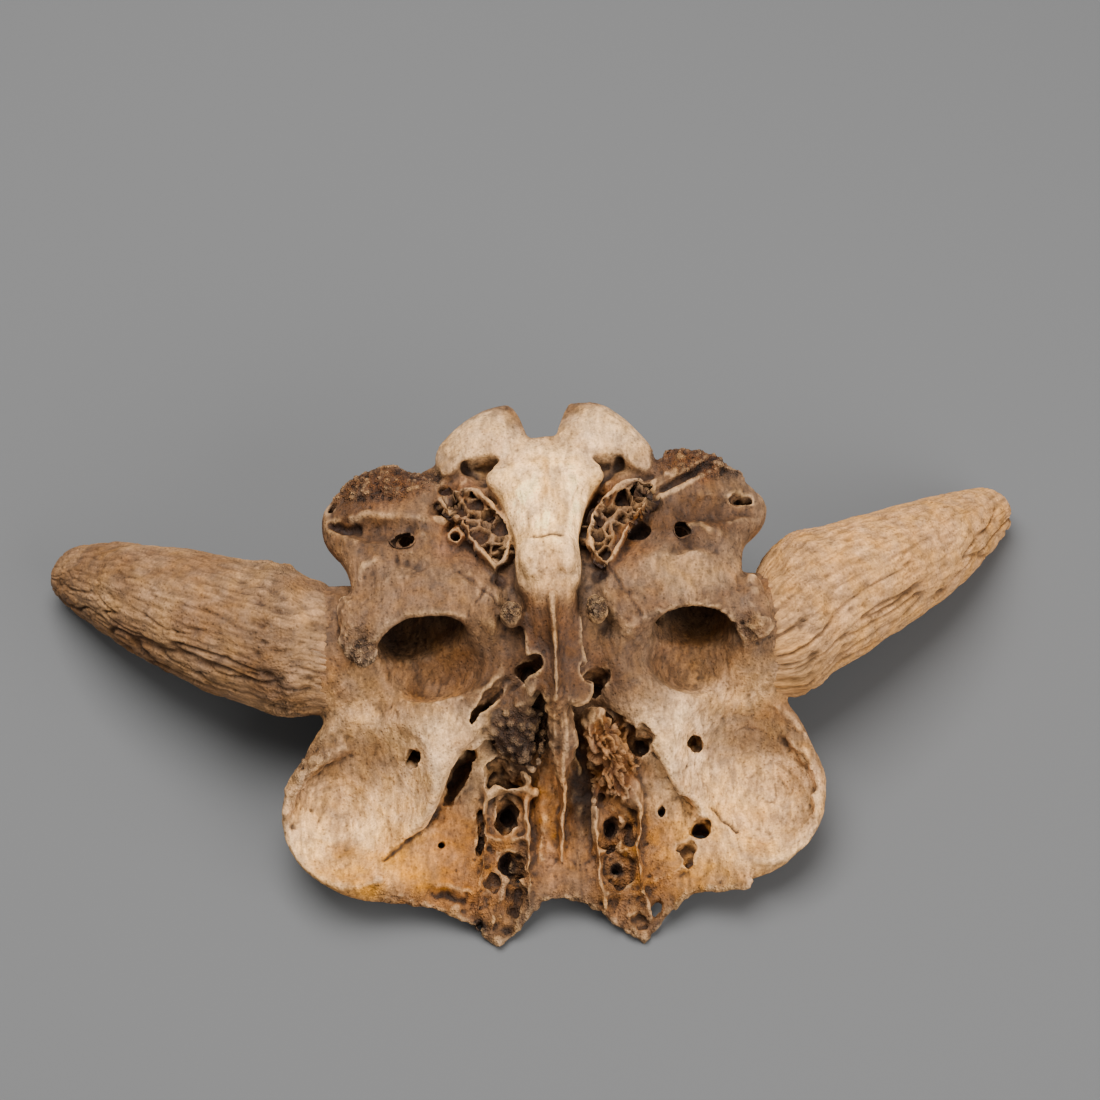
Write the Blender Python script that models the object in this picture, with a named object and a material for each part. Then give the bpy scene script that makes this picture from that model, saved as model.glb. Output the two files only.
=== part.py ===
"""A buffalo skull without its face: the braincase and brow with both horn cores, resting upside down.

The forms are placed in the skull's own frame, in millimetres: +X to the right with the underside up,
+Y towards the neck and +Z towards the underside. PITCH, SHIFT and LIFT lay that frame on the ground.
"""

import math
import random

import bmesh
import bpy
from mathutils import Euler, Matrix, Vector

MM = 0.001
PITCH = 5.5  # degrees by which the neck end is raised on the horn tips
SHIFT = (1.0, 39.0)  # moves the middle of the skull over the origin
LIFT = 28.7  # raises the lowest points to the ground

COARSE, FINE = 2.4, 1.7  # voxels of the big forms and of the whole
FACES = 9800
WALL = 2.0  # half thickness of the thin walls
CELL_GAP = 8.5  # between the middles of the small cells behind the ears
COLLAR_KNOBS = 15
GROOVES = 12
GROOVE_WIDE, GROOVE_DEEP = 2.6, 3
SEED = 5  # for the uneven sizes of repeated lumps
LEFT, RIGHT = -1, 1

BONE_COLOUR = (0.36, 0.25, 0.16, 1.0)
BONE_ROUGHNESS = 0.75

GROUND = Matrix.Translation((*SHIFT, LIFT)) @ Matrix.Rotation(math.radians(PITCH), 4, "X")
SKULL = Matrix.Scale(MM, 4) @ GROUND

# Horn cores: centre line points, with the half thickness front to back and up and down.
HORN_LEFT = (
    ((-70, -12, 22), 44, 36),
    ((-112, -16, 40), 43, 36),
    ((-132, -14, 45), 40, 36),
    ((-171, -2, 44), 43, 39),
    ((-209, 19, 36), 40, 37),
    ((-241, 41, 22), 34, 33),
    ((-270, 65, 1), 27, 26),
    ((-288, 80, -16), 21, 20),
)
HORN_RIGHT = (
    ((70, -12, 22), 44, 36),
    ((112, -20, 40), 43, 36),
    ((132, -21, 46), 39, 36),
    ((168, 3, 42), 42, 38),
    ((202, 24, 31), 38, 36),
    ((239, 49, 13), 32, 31),
    ((268, 74, -7), 25, 24),
    ((288, 91, -20), 19, 18),
)

# Outlines seen from below, each point with its height: the plates that the jaw hinged on,
# and the broken front of the brow.
CHEEK_LEFT = (
    (-62, 68, 100), (-76, 76, 98), (-90, 82, 96), (-106, 79, 95), (-119, 71, 92), (-131, 58, 87),
    (-132, 44, 86), (-127, 31, 88), (-120, 21, 90), (-116, 6, 92), (-117, -8, 93), (-120, -26, 90),
    (-116, -38, 88), (-109, -43, 87), (-101, -34, 92), (-91, -26, 97), (-76, -24, 99), (-62, -28, 98),
    (-50, -36, 95), (-38, -42, 90), (-28, -17, 98), (-28, 8, 92), (-40, 24, 90), (-58, 46, 92),
)
CHEEK_RIGHT = (
    (67, 67, 100), (80, 80, 98), (93, 81, 97), (105, 78, 96), (118, 66, 94), (129, 56, 90),
    (136, 48, 86), (133, 35, 85), (124, 25, 87), (118, 17, 90), (116, 1, 92), (116, -12, 93),
    (119, -24, 92), (124, -35, 90), (120, -44, 88), (111, -47, 88), (103, -42, 92), (96, -36, 96),
    (87, -31, 99), (74, -28, 99), (60, -38, 95), (46, -44, 90), (31, -16, 98), (30, 6, 92),
    (46, 24, 90), (62, 44, 92),
)
FRONT_LEFT = (
    (-110, -163, 14), (-97, -163, 12), (-80, -167, 6), (-60, -176, 0), (-49, -184, -4), (-41, -189, -5),
    (-36, -187, -5), (-28, -181, -1), (-22, -175, 2), (-13, -168, 5), (-16, -140, 8), (-20, -108, 18),
    (-40, -92, 26), (-57, -95, 24), (-70, -112, 18), (-87, -127, 14), (-104, -138, 14),
)
FRONT_RIGHT = (
    (-3, -167, 5), (6, -168, 5), (18, -174, 2), (29, -183, -3), (44, -193, -5), (48, -190, -5),
    (59, -180, 2), (69, -173, 8), (80, -170, 10), (96, -171, 14), (110, -168, 17), (102, -142, 14),
    (84, -128, 14), (70, -118, 18), (56, -99, 26), (40, -86, 28), (20, -92, 26), (16, -120, 14),
)

# The floor of the open brow, whose walls stand straight up from this outline.
SINUS_FLOOR = (
    (-18, -70, 60), (-33, -73, 56), (-48, -85, 46), (-57, -93, 38), (-66, -105, 30), (-70, -114, 24),
    (-77, -123, 19), (-87, -129, 16), (-97, -134, 17), (-105, -141, 19), (-104, -160, 16), (-92, -182, 6),
    (-60, -202, -4), (0, -208, -6), (60, -202, -4), (96, -188, 8), (110, -168, 18), (107, -148, 20),
    (96, -138, 19), (83, -130, 17), (70, -124, 21), (63, -110, 28), (56, -99, 34), (49, -88, 42),
    (38, -81, 48), (27, -78, 52), (14, -74, 58),
)

# The bony pockets behind the ears, seen from below.
BULLA_LEFT = (
    (-60, 55), (-52, 59), (-42, 56), (-31, 45), (-24, 34), (-21, 23), (-22, 16), (-28, 10), (-39, 18),
    (-49, 29), (-56, 42),
)
BULLA_RIGHT = (
    (66, 58), (57, 57), (46, 51), (32, 41), (26, 24), (29, 10), (35, 4), (42, 15), (48, 26), (58, 37),
    (67, 48),
)

# The granular ends of the cheek plates, and the spongy bone at the left of the nose.
GRAINS_LEFT = ((-116, 66), (-106, 74), (-90, 76), (-74, 72), (-70, 60), (-90, 58), (-108, 58))
GRAINS_RIGHT = ((72, 68), (84, 76), (104, 74), (114, 64), (100, 64), (82, 60))
SPONGE = ((-34, -72), (-8, -72), (-6, -94), (-16, -104), (-38, -96))

# Thin walls between the open cells of the brow, the pits between them with their depths,
# and small holes with their half widths and depths.
CELL_WALLS = (
    [(-42, -98, 26), (-45, -118, 17), (-46, -135, 10), (-49, -152, 6), (-52, -172, 1)],
    [(-19, -99, 28), (-20, -120, 20), (-21, -138, 11), (-21, -155, 6), (-22, -171, 2)],
    [(22, -97, 30), (21, -120, 21), (20, -140, 11), (21, -160, 5), (23, -174, 1)],
    [(46, -112, 26), (46, -131, 15), (44, -147, 9), (45, -165, 4), (49, -180, -3)],
    [(-43, -131, 12), (-33, -133, 10), (-22, -132, 12)],
    [(-45, -157, 5), (-35, -154, 4), (-23, -157, 5)],
    [(21, -143, 10), (33, -142, 9), (45, -141, 10)],
    [(22, -166, 3), (32, -168, 2), (44, -168, 3)],
)
CELLS = (
    (((-41, -88, 44), (-34, -88, 44), (-27, -93, 42), (-21, -99, 38), (-19, -105, 34), (-27, -106, 32),
      (-35, -105, 34), (-41, -102, 36), (-44, -95, 40)), 26),
    (((-37, -111, 26), (-30, -109, 26), (-25, -113, 26), (-24, -119, 22), (-28, -127, 20), (-35, -129, 20),
      (-38, -125, 20), (-39, -116, 22)), 18),
    (((-38, -139, 14), (-32, -138, 14), (-25, -142, 14), (-22, -149, 12), (-23, -154, 10), (-30, -155, 10),
      (-36, -150, 11), (-39, -145, 14)), 14),
    (((-36, -157, 6), (-31, -155, 6), (-24, -160, 6), (-25, -168, 4), (-29, -175, 2), (-34, -170, 4),
      (-37, -164, 6)), 7),
    (((-42, -164, 5), (-38, -167, 4), (-33, -172, 1), (-30, -181, 0), (-33, -186, -2), (-40, -186, -2),
      (-43, -179, 1)), 3.5),
    (((-45, -149, 11), (-39, -150, 9), (-39, -156, 9), (-42, -162, 9), (-45, -159, 9), (-46, -153, 9)), 4),
    (((24, -126, 20), (28, -122, 20), (34, -124, 20), (34, -133, 19), (31, -140, 16), (25, -141, 15),
      (21, -139, 15), (21, -134, 20)), 14),
    (((36, -127, 20), (40, -123, 20), (44, -125, 20), (45, -135, 20), (42, -139, 18), (36, -138, 18),
      (34, -133, 20)), 12),
    (((24, -146, 13), (29, -141, 14), (37, -142, 14), (41, -149, 10), (41, -158, 8), (37, -163, 6),
      (30, -163, 6), (24, -158, 10), (22, -150, 10)), 8),
    (((38, -179, 1), (43, -176, 1), (47, -181, 1), (46, -186, -1), (42, -187, -2), (37, -185, 1)), 3.5),
    (((48, -174, 4), (53, -170, 5), (57, -172, 5), (55, -177, 4), (50, -179, 2)), 9),
    (((17, -116, 32), (23, -114, 34), (32, -117, 32), (42, -121, 30), (45, -126, 26), (34, -122, 28),
      (25, -121, 28)), 12),
    (((67, -144, 10), (74, -141, 11), (79, -146, 10), (77, -151, 9), (73, -155, 8), (70, -150, 9)), 5),
)
SMALL_HOLES = (
    ((-31, -113, 18), 5, 16),
    ((-34, -142, 10), 4, 10),
    ((29, -125, 16), 4, 14),
    ((31, -149, 8), 2.4, 12),
    ((59, -121, 20), 2.4, 16),
    ((82, -133, 13), 6, 16),
    ((-72, -132, 13), 2.4, 10),
    ((-52, -178, 2), 2.2, 7),
    ((-29, -2, 108), 2.4, 14),
    ((-53, 28, 100), 3, 9),
    ((56, 28, 100), 5, 10),
    ((31, -2, 108), 2.6, 14),
)

# The middle of each horn collar, and the way from there to its rear edge.
COLLARS = (
    ((-160, -5, 45), (12, 40, 0)),
    ((152, -10, 44), (-22, 36, 0)),
)
COLLAR_HEIGHT = 37


def spline(points, steps):
    """Points on a smooth curve through the given ones, with so many steps between neighbours."""
    ends = [2 * points[0] - points[1], *points, 2 * points[-1] - points[-2]]
    found = []
    for a, b, c, d in zip(ends, ends[1:], ends[2:], ends[3:]):
        for step in range(steps):
            t = step / steps
            bend = (2 * a - 5 * b + 4 * c - d) * t**2 + (3 * b - a - 3 * c + d) * t**3
            found.append(b + 0.5 * ((c - a) * t + bend))
    return [*found, points[-1]]


def ball(bm, at, size, turn=(0, 0, 0), level=3):
    """Adds an egg: its middle, its three half sizes, and its turns about X, Y and Z in degrees."""
    turned = Euler([math.radians(angle) for angle in turn]).to_matrix().to_4x4()
    matrix = SKULL @ Matrix.Translation(at) @ turned @ Matrix.Diagonal((*size, 1))
    bmesh.ops.create_icosphere(bm, subdivisions=level, radius=1, matrix=matrix)


def bridge(bm, rings):
    """Closes a row of rings of points into a solid."""
    made = [[bm.verts.new(SKULL @ point) for point in ring] for ring in rings]
    count = len(made[0])
    for near, far in zip(made, made[1:]):
        for i in range(count):
            bm.faces.new((near[i], near[(i + 1) % count], far[(i + 1) % count], far[i]))
    bm.faces.new(made[0][::-1])
    bm.faces.new(made[-1])


def limb(bm, stations, steps=5, sides=14):
    """Adds a round-ended bar through stations of point, half width and, where it isn't round, half height."""
    rows = spline([Vector((*point, *size, size[-1])[:5]) for point, *size in stations], steps)
    middles = [Vector(row[:3]) for row in rows]
    last = len(rows) - 1
    rings = []
    for i, row in enumerate(rows):
        along = (middles[min(i + 1, last)] - middles[max(i - 1, 0)]).normalized()
        across = along.cross(Vector((0, 0, 1)))
        if across.length < 0.2:
            across = along.cross(Vector((0, 1, 0)))
        across.normalize()
        upward = across.cross(along)
        angles = {0: (-84, -60, -30, 0), last: (0, 30, 60, 84)}.get(i, (0,))
        for tip in map(math.radians, angles):
            centre = middles[i] + along * math.sin(tip) * min(row[3], row[4])
            wide, high = across * row[3] * math.cos(tip), upward * row[4] * math.cos(tip)
            turns = [2 * math.pi * k / sides for k in range(sides)]
            rings.append([centre + wide * math.cos(a) + high * math.sin(a) for a in turns])
    bridge(bm, rings)


def plate(bm, outline, crown, thick, rings=5):
    """Adds a plate that rises or sinks in a smooth arch from its outline to its crown."""
    crown = Vector(crown)
    rim = spline([Vector(point) for point in (*outline, outline[0])], 3)[:-1]
    upper = []
    for k in range(1, rings + 1):
        share = k / rings
        row = [crown.lerp(point, share) for point in rim]
        for point, edge in zip(row, rim):
            point.z = crown.z + (edge.z - crown.z) * share**2
        upper.append(row)
    lower = [[point - Vector((0, 0, thick)) for point in row] for row in upper]
    bridge(bm, upper + lower[::-1])


def pit(bm, outline, depth, up=8):
    """Adds a steep-walled pit from the outline of its rim, for cutting."""
    rim = spline([Vector(point) for point in (*outline, outline[0])], 3)[:-1]
    middle = sum(rim, Vector()) / len(rim)
    rings = []
    for drop, share in ((-up, 1.1), (0, 1), (0.6 * depth, 0.95), (0.9 * depth, 0.8), (depth, 0.45)):
        rings.append([Vector((*middle.lerp(point, share).xy, point.z - drop)) for point in rim])
    bridge(bm, rings)


def scatter(outline, spacing, seed, tries=400):
    """Random points inside an outline seen from below, each at least the spacing from the others."""
    chance = random.Random(seed)
    xs = [point[0] for point in outline]
    ys = [point[1] for point in outline]
    kept = []
    for _ in range(tries):
        x = chance.uniform(min(xs), max(xs))
        y = chance.uniform(min(ys), max(ys))
        inside = False
        for (ax, ay, *_), (bx, by, *_) in zip(outline, (*outline[1:], outline[0])):
            if (ay > y) != (by > y) and x < (bx - ax) * (y - ay) / (by - ay) + ax:
                inside = not inside
        if inside and all(math.hypot(x - px, y - py) > spacing for px, py in kept):
            kept.append((x, y))
    return kept


def mesh_object(name, build):
    """An object whose mesh is filled by the given function."""
    bm = bmesh.new()
    build(bm)
    bmesh.ops.recalc_face_normals(bm, faces=bm.faces)
    mesh = bpy.data.meshes.new(name)
    bm.to_mesh(mesh)
    bm.free()
    piece = bpy.data.objects.new(name, mesh)
    bpy.context.scene.collection.objects.link(piece)
    return piece


def fuse(piece, smooth, voxel):
    """Makes one skin of the overlapping forms and rounds it."""
    remesh = piece.modifiers.new("one_skin", "REMESH")
    remesh.mode = "VOXEL"
    remesh.voxel_size = voxel * MM
    rounding = piece.modifiers.new("rounding", "SMOOTH")
    rounding.factor = 0.5
    rounding.iterations = smooth


def apply_modifiers(piece):
    graph = bpy.context.evaluated_depsgraph_get()
    mesh = bpy.data.meshes.new_from_object(piece.evaluated_get(graph))
    piece.modifiers.clear()
    old = piece.data
    piece.data = mesh
    bpy.data.meshes.remove(old)


def combine(piece, build, operation, smooth, voxel):
    """Joins or cuts a group of forms, which stays in the file as a wire guide."""
    group = mesh_object(build.__name__, build)
    fuse(group, 1, voxel)
    apply_modifiers(group)
    group.hide_render = True
    group.display_type = "WIRE"
    boolean = piece.modifiers.new(build.__name__, "BOOLEAN")
    boolean.operation = operation
    boolean.object = group
    fuse(piece, smooth, voxel)
    apply_modifiers(piece)


def masses(bm):
    """The big forms: braincase, brow, horn cores, roots of the cheek arches, blocks round the eyes."""
    ball(bm, (1, 5, 38), (62, 82, 60))
    ball(bm, (0, -25, 14), (118, 100, 36))
    ball(bm, (-2, -100, 11), (122, 72, 25))
    ball(bm, (0, 32, 22), (98, 38, 48))
    limb(bm, HORN_LEFT, sides=28)
    limb(bm, HORN_RIGHT, sides=28)
    plate(bm, CHEEK_LEFT, (-78, 14, 103), 14)
    plate(bm, CHEEK_RIGHT, (80, 12, 103), 14)
    for side in (LEFT, RIGHT):
        limb(bm, [((side * 45, 58, 72), 22, 22), ((side * 85, 62, 76), 14, 20), ((side * 120, 52, 80), 8, 8)])
        limb(bm, [((side * 100, 60, 78), 14, 12), ((side * 88, 45, 40), 20), ((side * 85, 38, 10), 26, 24)])
        limb(
            bm,
            [
                ((side * 45, -38, 64), 28, 22),
                ((side * 75, -80, 40), 38, 22),
                ((side * 108, -98, 24), 38, 20),
            ],
        )
        limb(
            bm,
            [
                ((side * 112, -58, 30), 20, 22),
                ((side * 130, -80, 26), 20, 18),
                ((side * 146, -108, 22), 14),
            ],
        )
        ball(bm, (side * 119 - 3, -112, 20), (43, 48, 23))
        limb(
            bm,
            [
                ((side * 147 - 2, -116, 20), 13, 11),
                ((side * 124 - 2, -142, 13), 18, 10),
                ((side * 84, -148, 4), 20, 9),
            ],
        )


def collars(bm):
    """The knobbly ring round the root of each horn core."""
    chance = random.Random(SEED)
    for middle, across in COLLARS:
        for k in range(COLLAR_KNOBS):
            turn = 2 * math.pi * k / COLLAR_KNOBS
            round_it = Vector(across) * math.cos(turn) + Vector((0, 0, COLLAR_HEIGHT)) * math.sin(turn)
            size = chance.uniform(5, 8)
            ball(bm, Vector(middle) + round_it, (1.3 * size, size, size))


def grooves(bm):
    """The long grooves of the horn cores, which waver from the collar to near the tip."""
    chance = random.Random(SEED)
    for stations in (HORN_LEFT, HORN_RIGHT):
        rows = [(Vector(point), wide, high) for point, wide, high in stations]
        for k in range(GROOVES):
            turn = 2 * math.pi * k / GROOVES
            path = []
            for (before, *_), (middle, wide, high), (after, *_) in zip(rows[2:], rows[3:], rows[4:]):
                across = (after - before).cross(Vector((0, 0, 1))).normalized()
                upward = across.cross(after - before).normalized()
                sway = turn + chance.uniform(-0.2, 0.2)
                point = middle + across * wide * math.cos(sway) + upward * high * math.sin(sway)
                path.append((point, GROOVE_WIDE, GROOVE_DEEP))
            limb(bm, path)


def hollows(bm):
    """What is deep: temple pits, eye sockets, open brow cavities, the roof of the nose, the neck opening."""
    limb(bm, [((2, 135, 80), 19, 16), ((2, 100, 80), 19, 16), ((0, 60, 70), 22, 20), ((0, 20, 60), 32, 26)])
    limb(bm, [((4, 130, 112), 15, 16), ((4, 92, 106), 11, 12)])
    ball(bm, (-72, -45, 86), (34, 22, 40))
    limb(
        bm,
        [
            ((-73, -43, 92), 28, 17),
            ((-78, -26, 74), 27, 17),
            ((-85, -6, 62), 20, 16),
            ((-90, 8, 56), 13, 12),
        ],
    )
    ball(bm, (83, -49, 86), (29, 22, 40))
    limb(
        bm,
        [
            ((83, -47, 92), 25, 17),
            ((85, -28, 74), 24, 17),
            ((88, -8, 62), 18, 16),
            ((92, 6, 56), 13, 12),
        ],
    )
    ball(bm, (-100, -16, 78), (24, 26, 5), (0, -4, 0))
    ball(bm, (105, -18, 78), (24, 26, 5), (0, 4, 0))
    ball(bm, (-126, -124, 88), (62, 72, 76))
    ball(bm, (120, -124, 88), (62, 72, 76))
    ball(bm, (-128, -110, 52), (35, 33, 42), (-6, 10, 0))
    ball(bm, (122, -109, 52), (33, 32, 42), (-6, -10, 0))
    ball(bm, (-62, -50, 104), (44, 26, 38))
    ball(bm, (72, -54, 106), (40, 26, 38))
    limb(bm, [((-110, 2, 99), 4, 5), ((-96, 16, 101), 5, 5), ((-82, 14, 102), 4, 5), ((-72, 8, 104), 3, 4)])
    limb(bm, [((74, 8, 103), 3, 5), ((88, 14, 102), 5, 5), ((104, 8, 100), 4, 5)])
    limb(bm, [((-122, 44, 90), 4, 5), ((-102, 38, 97), 8, 5), ((-76, 36, 102), 7, 4)])
    limb(bm, [((126, 40, 90), 4, 5), ((106, 38, 97), 8, 5), ((80, 38, 102), 7, 4)])
    plate(bm, SINUS_FLOOR, (0, -126, 11), -120)
    limb(
        bm,
        [
            ((-14, -64, 66), 8, 8),
            ((-38, -82, 52), 8, 8),
            ((-56, -100, 38), 9, 8),
            ((-70, -120, 24), 8, 6),
        ],
    )
    limb(bm, [((16, -68, 60), 8, 8), ((40, -86, 50), 8, 8), ((56, -104, 38), 8, 8), ((74, -126, 22), 7, 6)])
    for side in (LEFT, RIGHT):
        limb(
            bm,
            [
                ((side * 56, 44, 112), 7, 12),
                ((side * 43, 30, 108), 12, 14),
                ((side * 29, 8, 106), 5, 12),
            ],
        )
        limb(bm, [((side * 30, 62, 112), 5, 9), ((side * 27, 44, 110), 4, 9), ((side * 26, 16, 106), 4, 12)])
        limb(bm, [((side * 24, -34, 98), 4, 6), ((side * 36, -50, 88), 4, 6)])
    limb(bm, [((-64, 60, 100), 5, 4), ((-50, 63, 101), 7, 6), ((-36, 66, 104), 7, 6), ((-24, 66, 108), 5, 5)])
    limb(bm, [((70, 56, 100), 5, 4), ((56, 58, 101), 7, 6), ((44, 62, 104), 7, 6), ((32, 63, 108), 5, 5)])


def skull_base(bm):
    """The pale bar along the middle, the two knobs of the neck joint, and the keel in front of them."""
    plate(
        bm,
        [
            (-6, 90, 106), (-20, 76, 110), (-30, 66, 110), (-31, 56, 107), (-25, 46, 109), (-21, 32, 110),
            (-18, 16, 110), (-19, 2, 109), (-18, -10, 107), (-11, -19, 106), (0, -22, 106), (10, -19, 106),
            (18, -10, 107), (20, 2, 109), (19, 16, 110), (23, 32, 110), (28, 46, 109), (35, 56, 107),
            (35, 66, 110), (26, 76, 110), (12, 90, 106),
        ],
        (1, 30, 122),
        28,
    )
    plate(
        bm,
        [
            (-16, 122, 95), (-11, 112, 100), (-6, 92, 106), (-8, 80, 110), (-22, 75, 111), (-34, 76, 111),
            (-45, 73, 110), (-53, 67, 108), (-59, 68, 106), (-62, 78, 102), (-60, 90, 100), (-48, 105, 98),
            (-31, 117, 96),
        ],
        (-34, 90, 114),
        24,
    )
    plate(
        bm,
        [
            (21, 120, 95), (37, 119, 96), (51, 108, 98), (61, 94, 100), (69, 81, 102), (69, 71, 105),
            (64, 62, 107), (57, 64, 109), (48, 71, 110), (34, 73, 111), (20, 74, 111), (12, 80, 110),
            (12, 92, 106), (16, 106, 101),
        ],
        (42, 90, 114),
        24,
    )
    ball(bm, (-10, 2, 113), (7, 14, 8))
    ball(bm, (11, 4, 113), (7, 13, 8))
    ball(bm, (-27, 60, 108), (6, 7, 7))
    ball(bm, (32, 60, 108), (6, 7, 7))
    limb(bm, [((1, -14, 98), 16, 14), ((1, -36, 84), 16, 14), ((0, -52, 68), 16, 14)])
    plate(
        bm,
        [
            (-16, -74, 84), (-9, -69, 85), (-6, -77, 85), (5, -78, 85), (13, -81, 84), (20, -77, 84),
            (23, -66, 86), (18, -46, 92), (16, -24, 98), (-14, -24, 98), (-16, -46, 92), (-18, -62, 86),
        ],
        (1, -48, 93),
        5,
    )
    limb(bm, [((1, -20, 107), 3.5, 8), ((1, -52, 97), 1.6, 8), ((0, -76, 84), 1.4, 6)])
    ball(bm, (-23, -27, 100), (7, 8, 10))
    ball(bm, (27, -27, 100), (7, 9, 10))


def brow_cavities(bm):
    """The broken front of the brow: its floor, the walls between its cells, and the scrolls of the nose."""
    plate(bm, FRONT_LEFT, (-58, -140, 7), 5.5)
    plate(bm, FRONT_RIGHT, (52, -142, 7), 5.5)
    limb(
        bm,
        [
            ((-32, -104, 16), 12, 9),
            ((-32, -130, 8), 12, 9),
            ((-36, -160, -1), 13, 8),
            ((-40, -177, -2), 8, 6),
        ],
    )
    limb(
        bm,
        [
            ((32, -112, 13), 12, 9),
            ((32, -135, 7), 12, 9),
            ((34, -160, -2), 14, 8),
            ((43, -178, -3), 8, 6),
        ],
    )
    limb(bm, [((-8, -92, 23), 8, 8), ((-7, -118, 13), 9, 8), ((-6, -140, 4), 8, 7)])
    limb(bm, [((10, -86, 22), 7, 8), ((11, -112, 11), 8, 8), ((9, -140, 3), 8, 7)])
    limb(
        bm,
        [
            ((1, -76, 76), 7, 8),
            ((3, -90, 60), 8, 9),
            ((2, -104, 42), 3, 10),
            ((1, -124, 22), WALL, 10),
            ((-1, -145, 6), WALL, 7),
        ],
    )
    limb(bm, [((-21, -74, 58), 11, 9), ((-22, -86, 48), 12, 8)])
    limb(bm, [((26, -80, 44), 10, 8), ((30, -98, 32), 11, 5), ((36, -112, 22), 8, 4)])
    limb(bm, [((-10, -61, 76), 6, 4), ((-23, -68, 66), 7, 4), ((-38, -77, 58), 6, 3), ((-51, -87, 50), 3, 3)])
    limb(bm, [((-41, -109, 29), 3, 5), ((-30, -104, 31), 4, 5), ((-17, -109, 27), 3, 5)])
    for wall in CELL_WALLS:
        limb(bm, [(point, WALL, 8) for point in wall])
    chance = random.Random(SEED)
    for x, y in scatter(SPONGE, 5.5, SEED):
        size = chance.uniform(3.5, 5.5)
        ball(bm, (x, y, 62 + 0.9 * (y + 72) + chance.uniform(-3, 3)), (size, size, size), level=2)
    for k in range(4):
        start = Vector((16 + 8 * k, -74 - 4 * k, 62 - 4 * k))
        bend = 2 * math.sin(k * 2.1)
        limb(
            bm,
            [
                (start, WALL, 5),
                (start + Vector((1 + bend, -11, -8)), WALL, 8),
                (start + Vector((1 - bend, -21, -16)), WALL, 8),
                (start + Vector((2 + bend, -32, -25)), WALL, 5),
            ],
        )
    for k in range(3):
        start = Vector((16, -82 - 11 * k, 50 - 9 * k))
        limb(
            bm,
            [
                (start, WALL, 3),
                (start + Vector((14, -4, -2)), WALL, 3),
                (start + Vector((26, -12, -6)), WALL, 3),
            ],
        )


def rims(bm):
    """Thin and knobbly edges: stumps of the cheek arches, ear pockets, the strip over each eye."""
    limb(bm, [((-117, -6, 86), 8, 7), ((-114, -26, 85), 11, 7), ((-109, -41, 83), 8, 5)])
    limb(bm, [((118, -10, 88), 8, 8), ((120, -28, 88), 9, 9), ((121, -37, 88), 10, 9)])
    limb(bm, [((-64, 66, 84), 18, 14), ((-44, 66, 86), 18, 12), ((-20, 70, 84), 18, 12)])
    limb(bm, [((68, 64, 84), 18, 14), ((50, 64, 86), 18, 12), ((24, 70, 84), 18, 12)])
    limb(
        bm,
        [
            ((-126, -72, 34), 7, 5),
            ((-142, -82, 34), 6, 5),
            ((-155, -96, 32), 5, 5),
            ((-161, -112, 27), 3, 5),
        ],
    )
    limb(
        bm,
        [
            ((136, -78, 27), 6, 6),
            ((147, -92, 27), 5, 6),
            ((153, -110, 25), 4, 5),
            ((150, -132, 22), 3, 4),
        ],
    )
    limb(bm, [((-36, 58, 96), 5, 6), ((-50, 66, 96), 6, 6), ((-60, 64, 97), 4, 5)])
    limb(bm, [((40, 56, 96), 5, 6), ((54, 64, 96), 6, 6), ((66, 66, 97), 4, 5)])
    limb(bm, [((-120, 54, 88), 3, 5), ((-100, 52, 93), 3, 5), ((-78, 50, 97), 3, 5), ((-60, 44, 99), 3, 4)])
    limb(bm, [((74, 50, 97), 3, 5), ((92, 55, 96), 3, 5), ((108, 52, 93), 3, 5)])
    for wall in (
        [(-59, 54, 99), (-42, 57, 100), (-30, 46, 100), (-23, 32, 100), (-23, 15, 99), (-30, 6, 97)],
        [(-60, 51, 100), (-52, 39, 102), (-45, 27, 102), (-38, 14, 101), (-31, 3, 98)],
        [(65, 57, 99), (47, 54, 100), (34, 42, 100), (27, 26, 100), (28, 10, 99), (34, 4, 97)],
        [(67, 56, 99), (60, 39, 101), (50, 26, 101), (43, 14, 100), (36, 3, 97)],
        [(-112, 59, 90), (-91, 53, 92), (-72, 47, 94), (-58, 38, 96)],
        [(72, 48, 95), (90, 60, 94), (108, 70, 92)],
    ):
        limb(bm, [(point, WALL, 6) for point in wall])
    plate(bm, [(*point, 97) for point in BULLA_LEFT], (-40, 34, 102), 14)
    plate(bm, [(*point, 97) for point in BULLA_RIGHT], (46, 34, 102), 14)
    limb(bm, [((-53, 28, 90), 5.5), ((-53, 28, 97), 5.5)])
    chance = random.Random(SEED)
    for outline in (GRAINS_LEFT, GRAINS_RIGHT):
        for x, y in scatter(outline, 8, SEED):
            size = chance.uniform(3, 5)
            ball(bm, (x, y, 94), (size, size, size), level=2)


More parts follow.
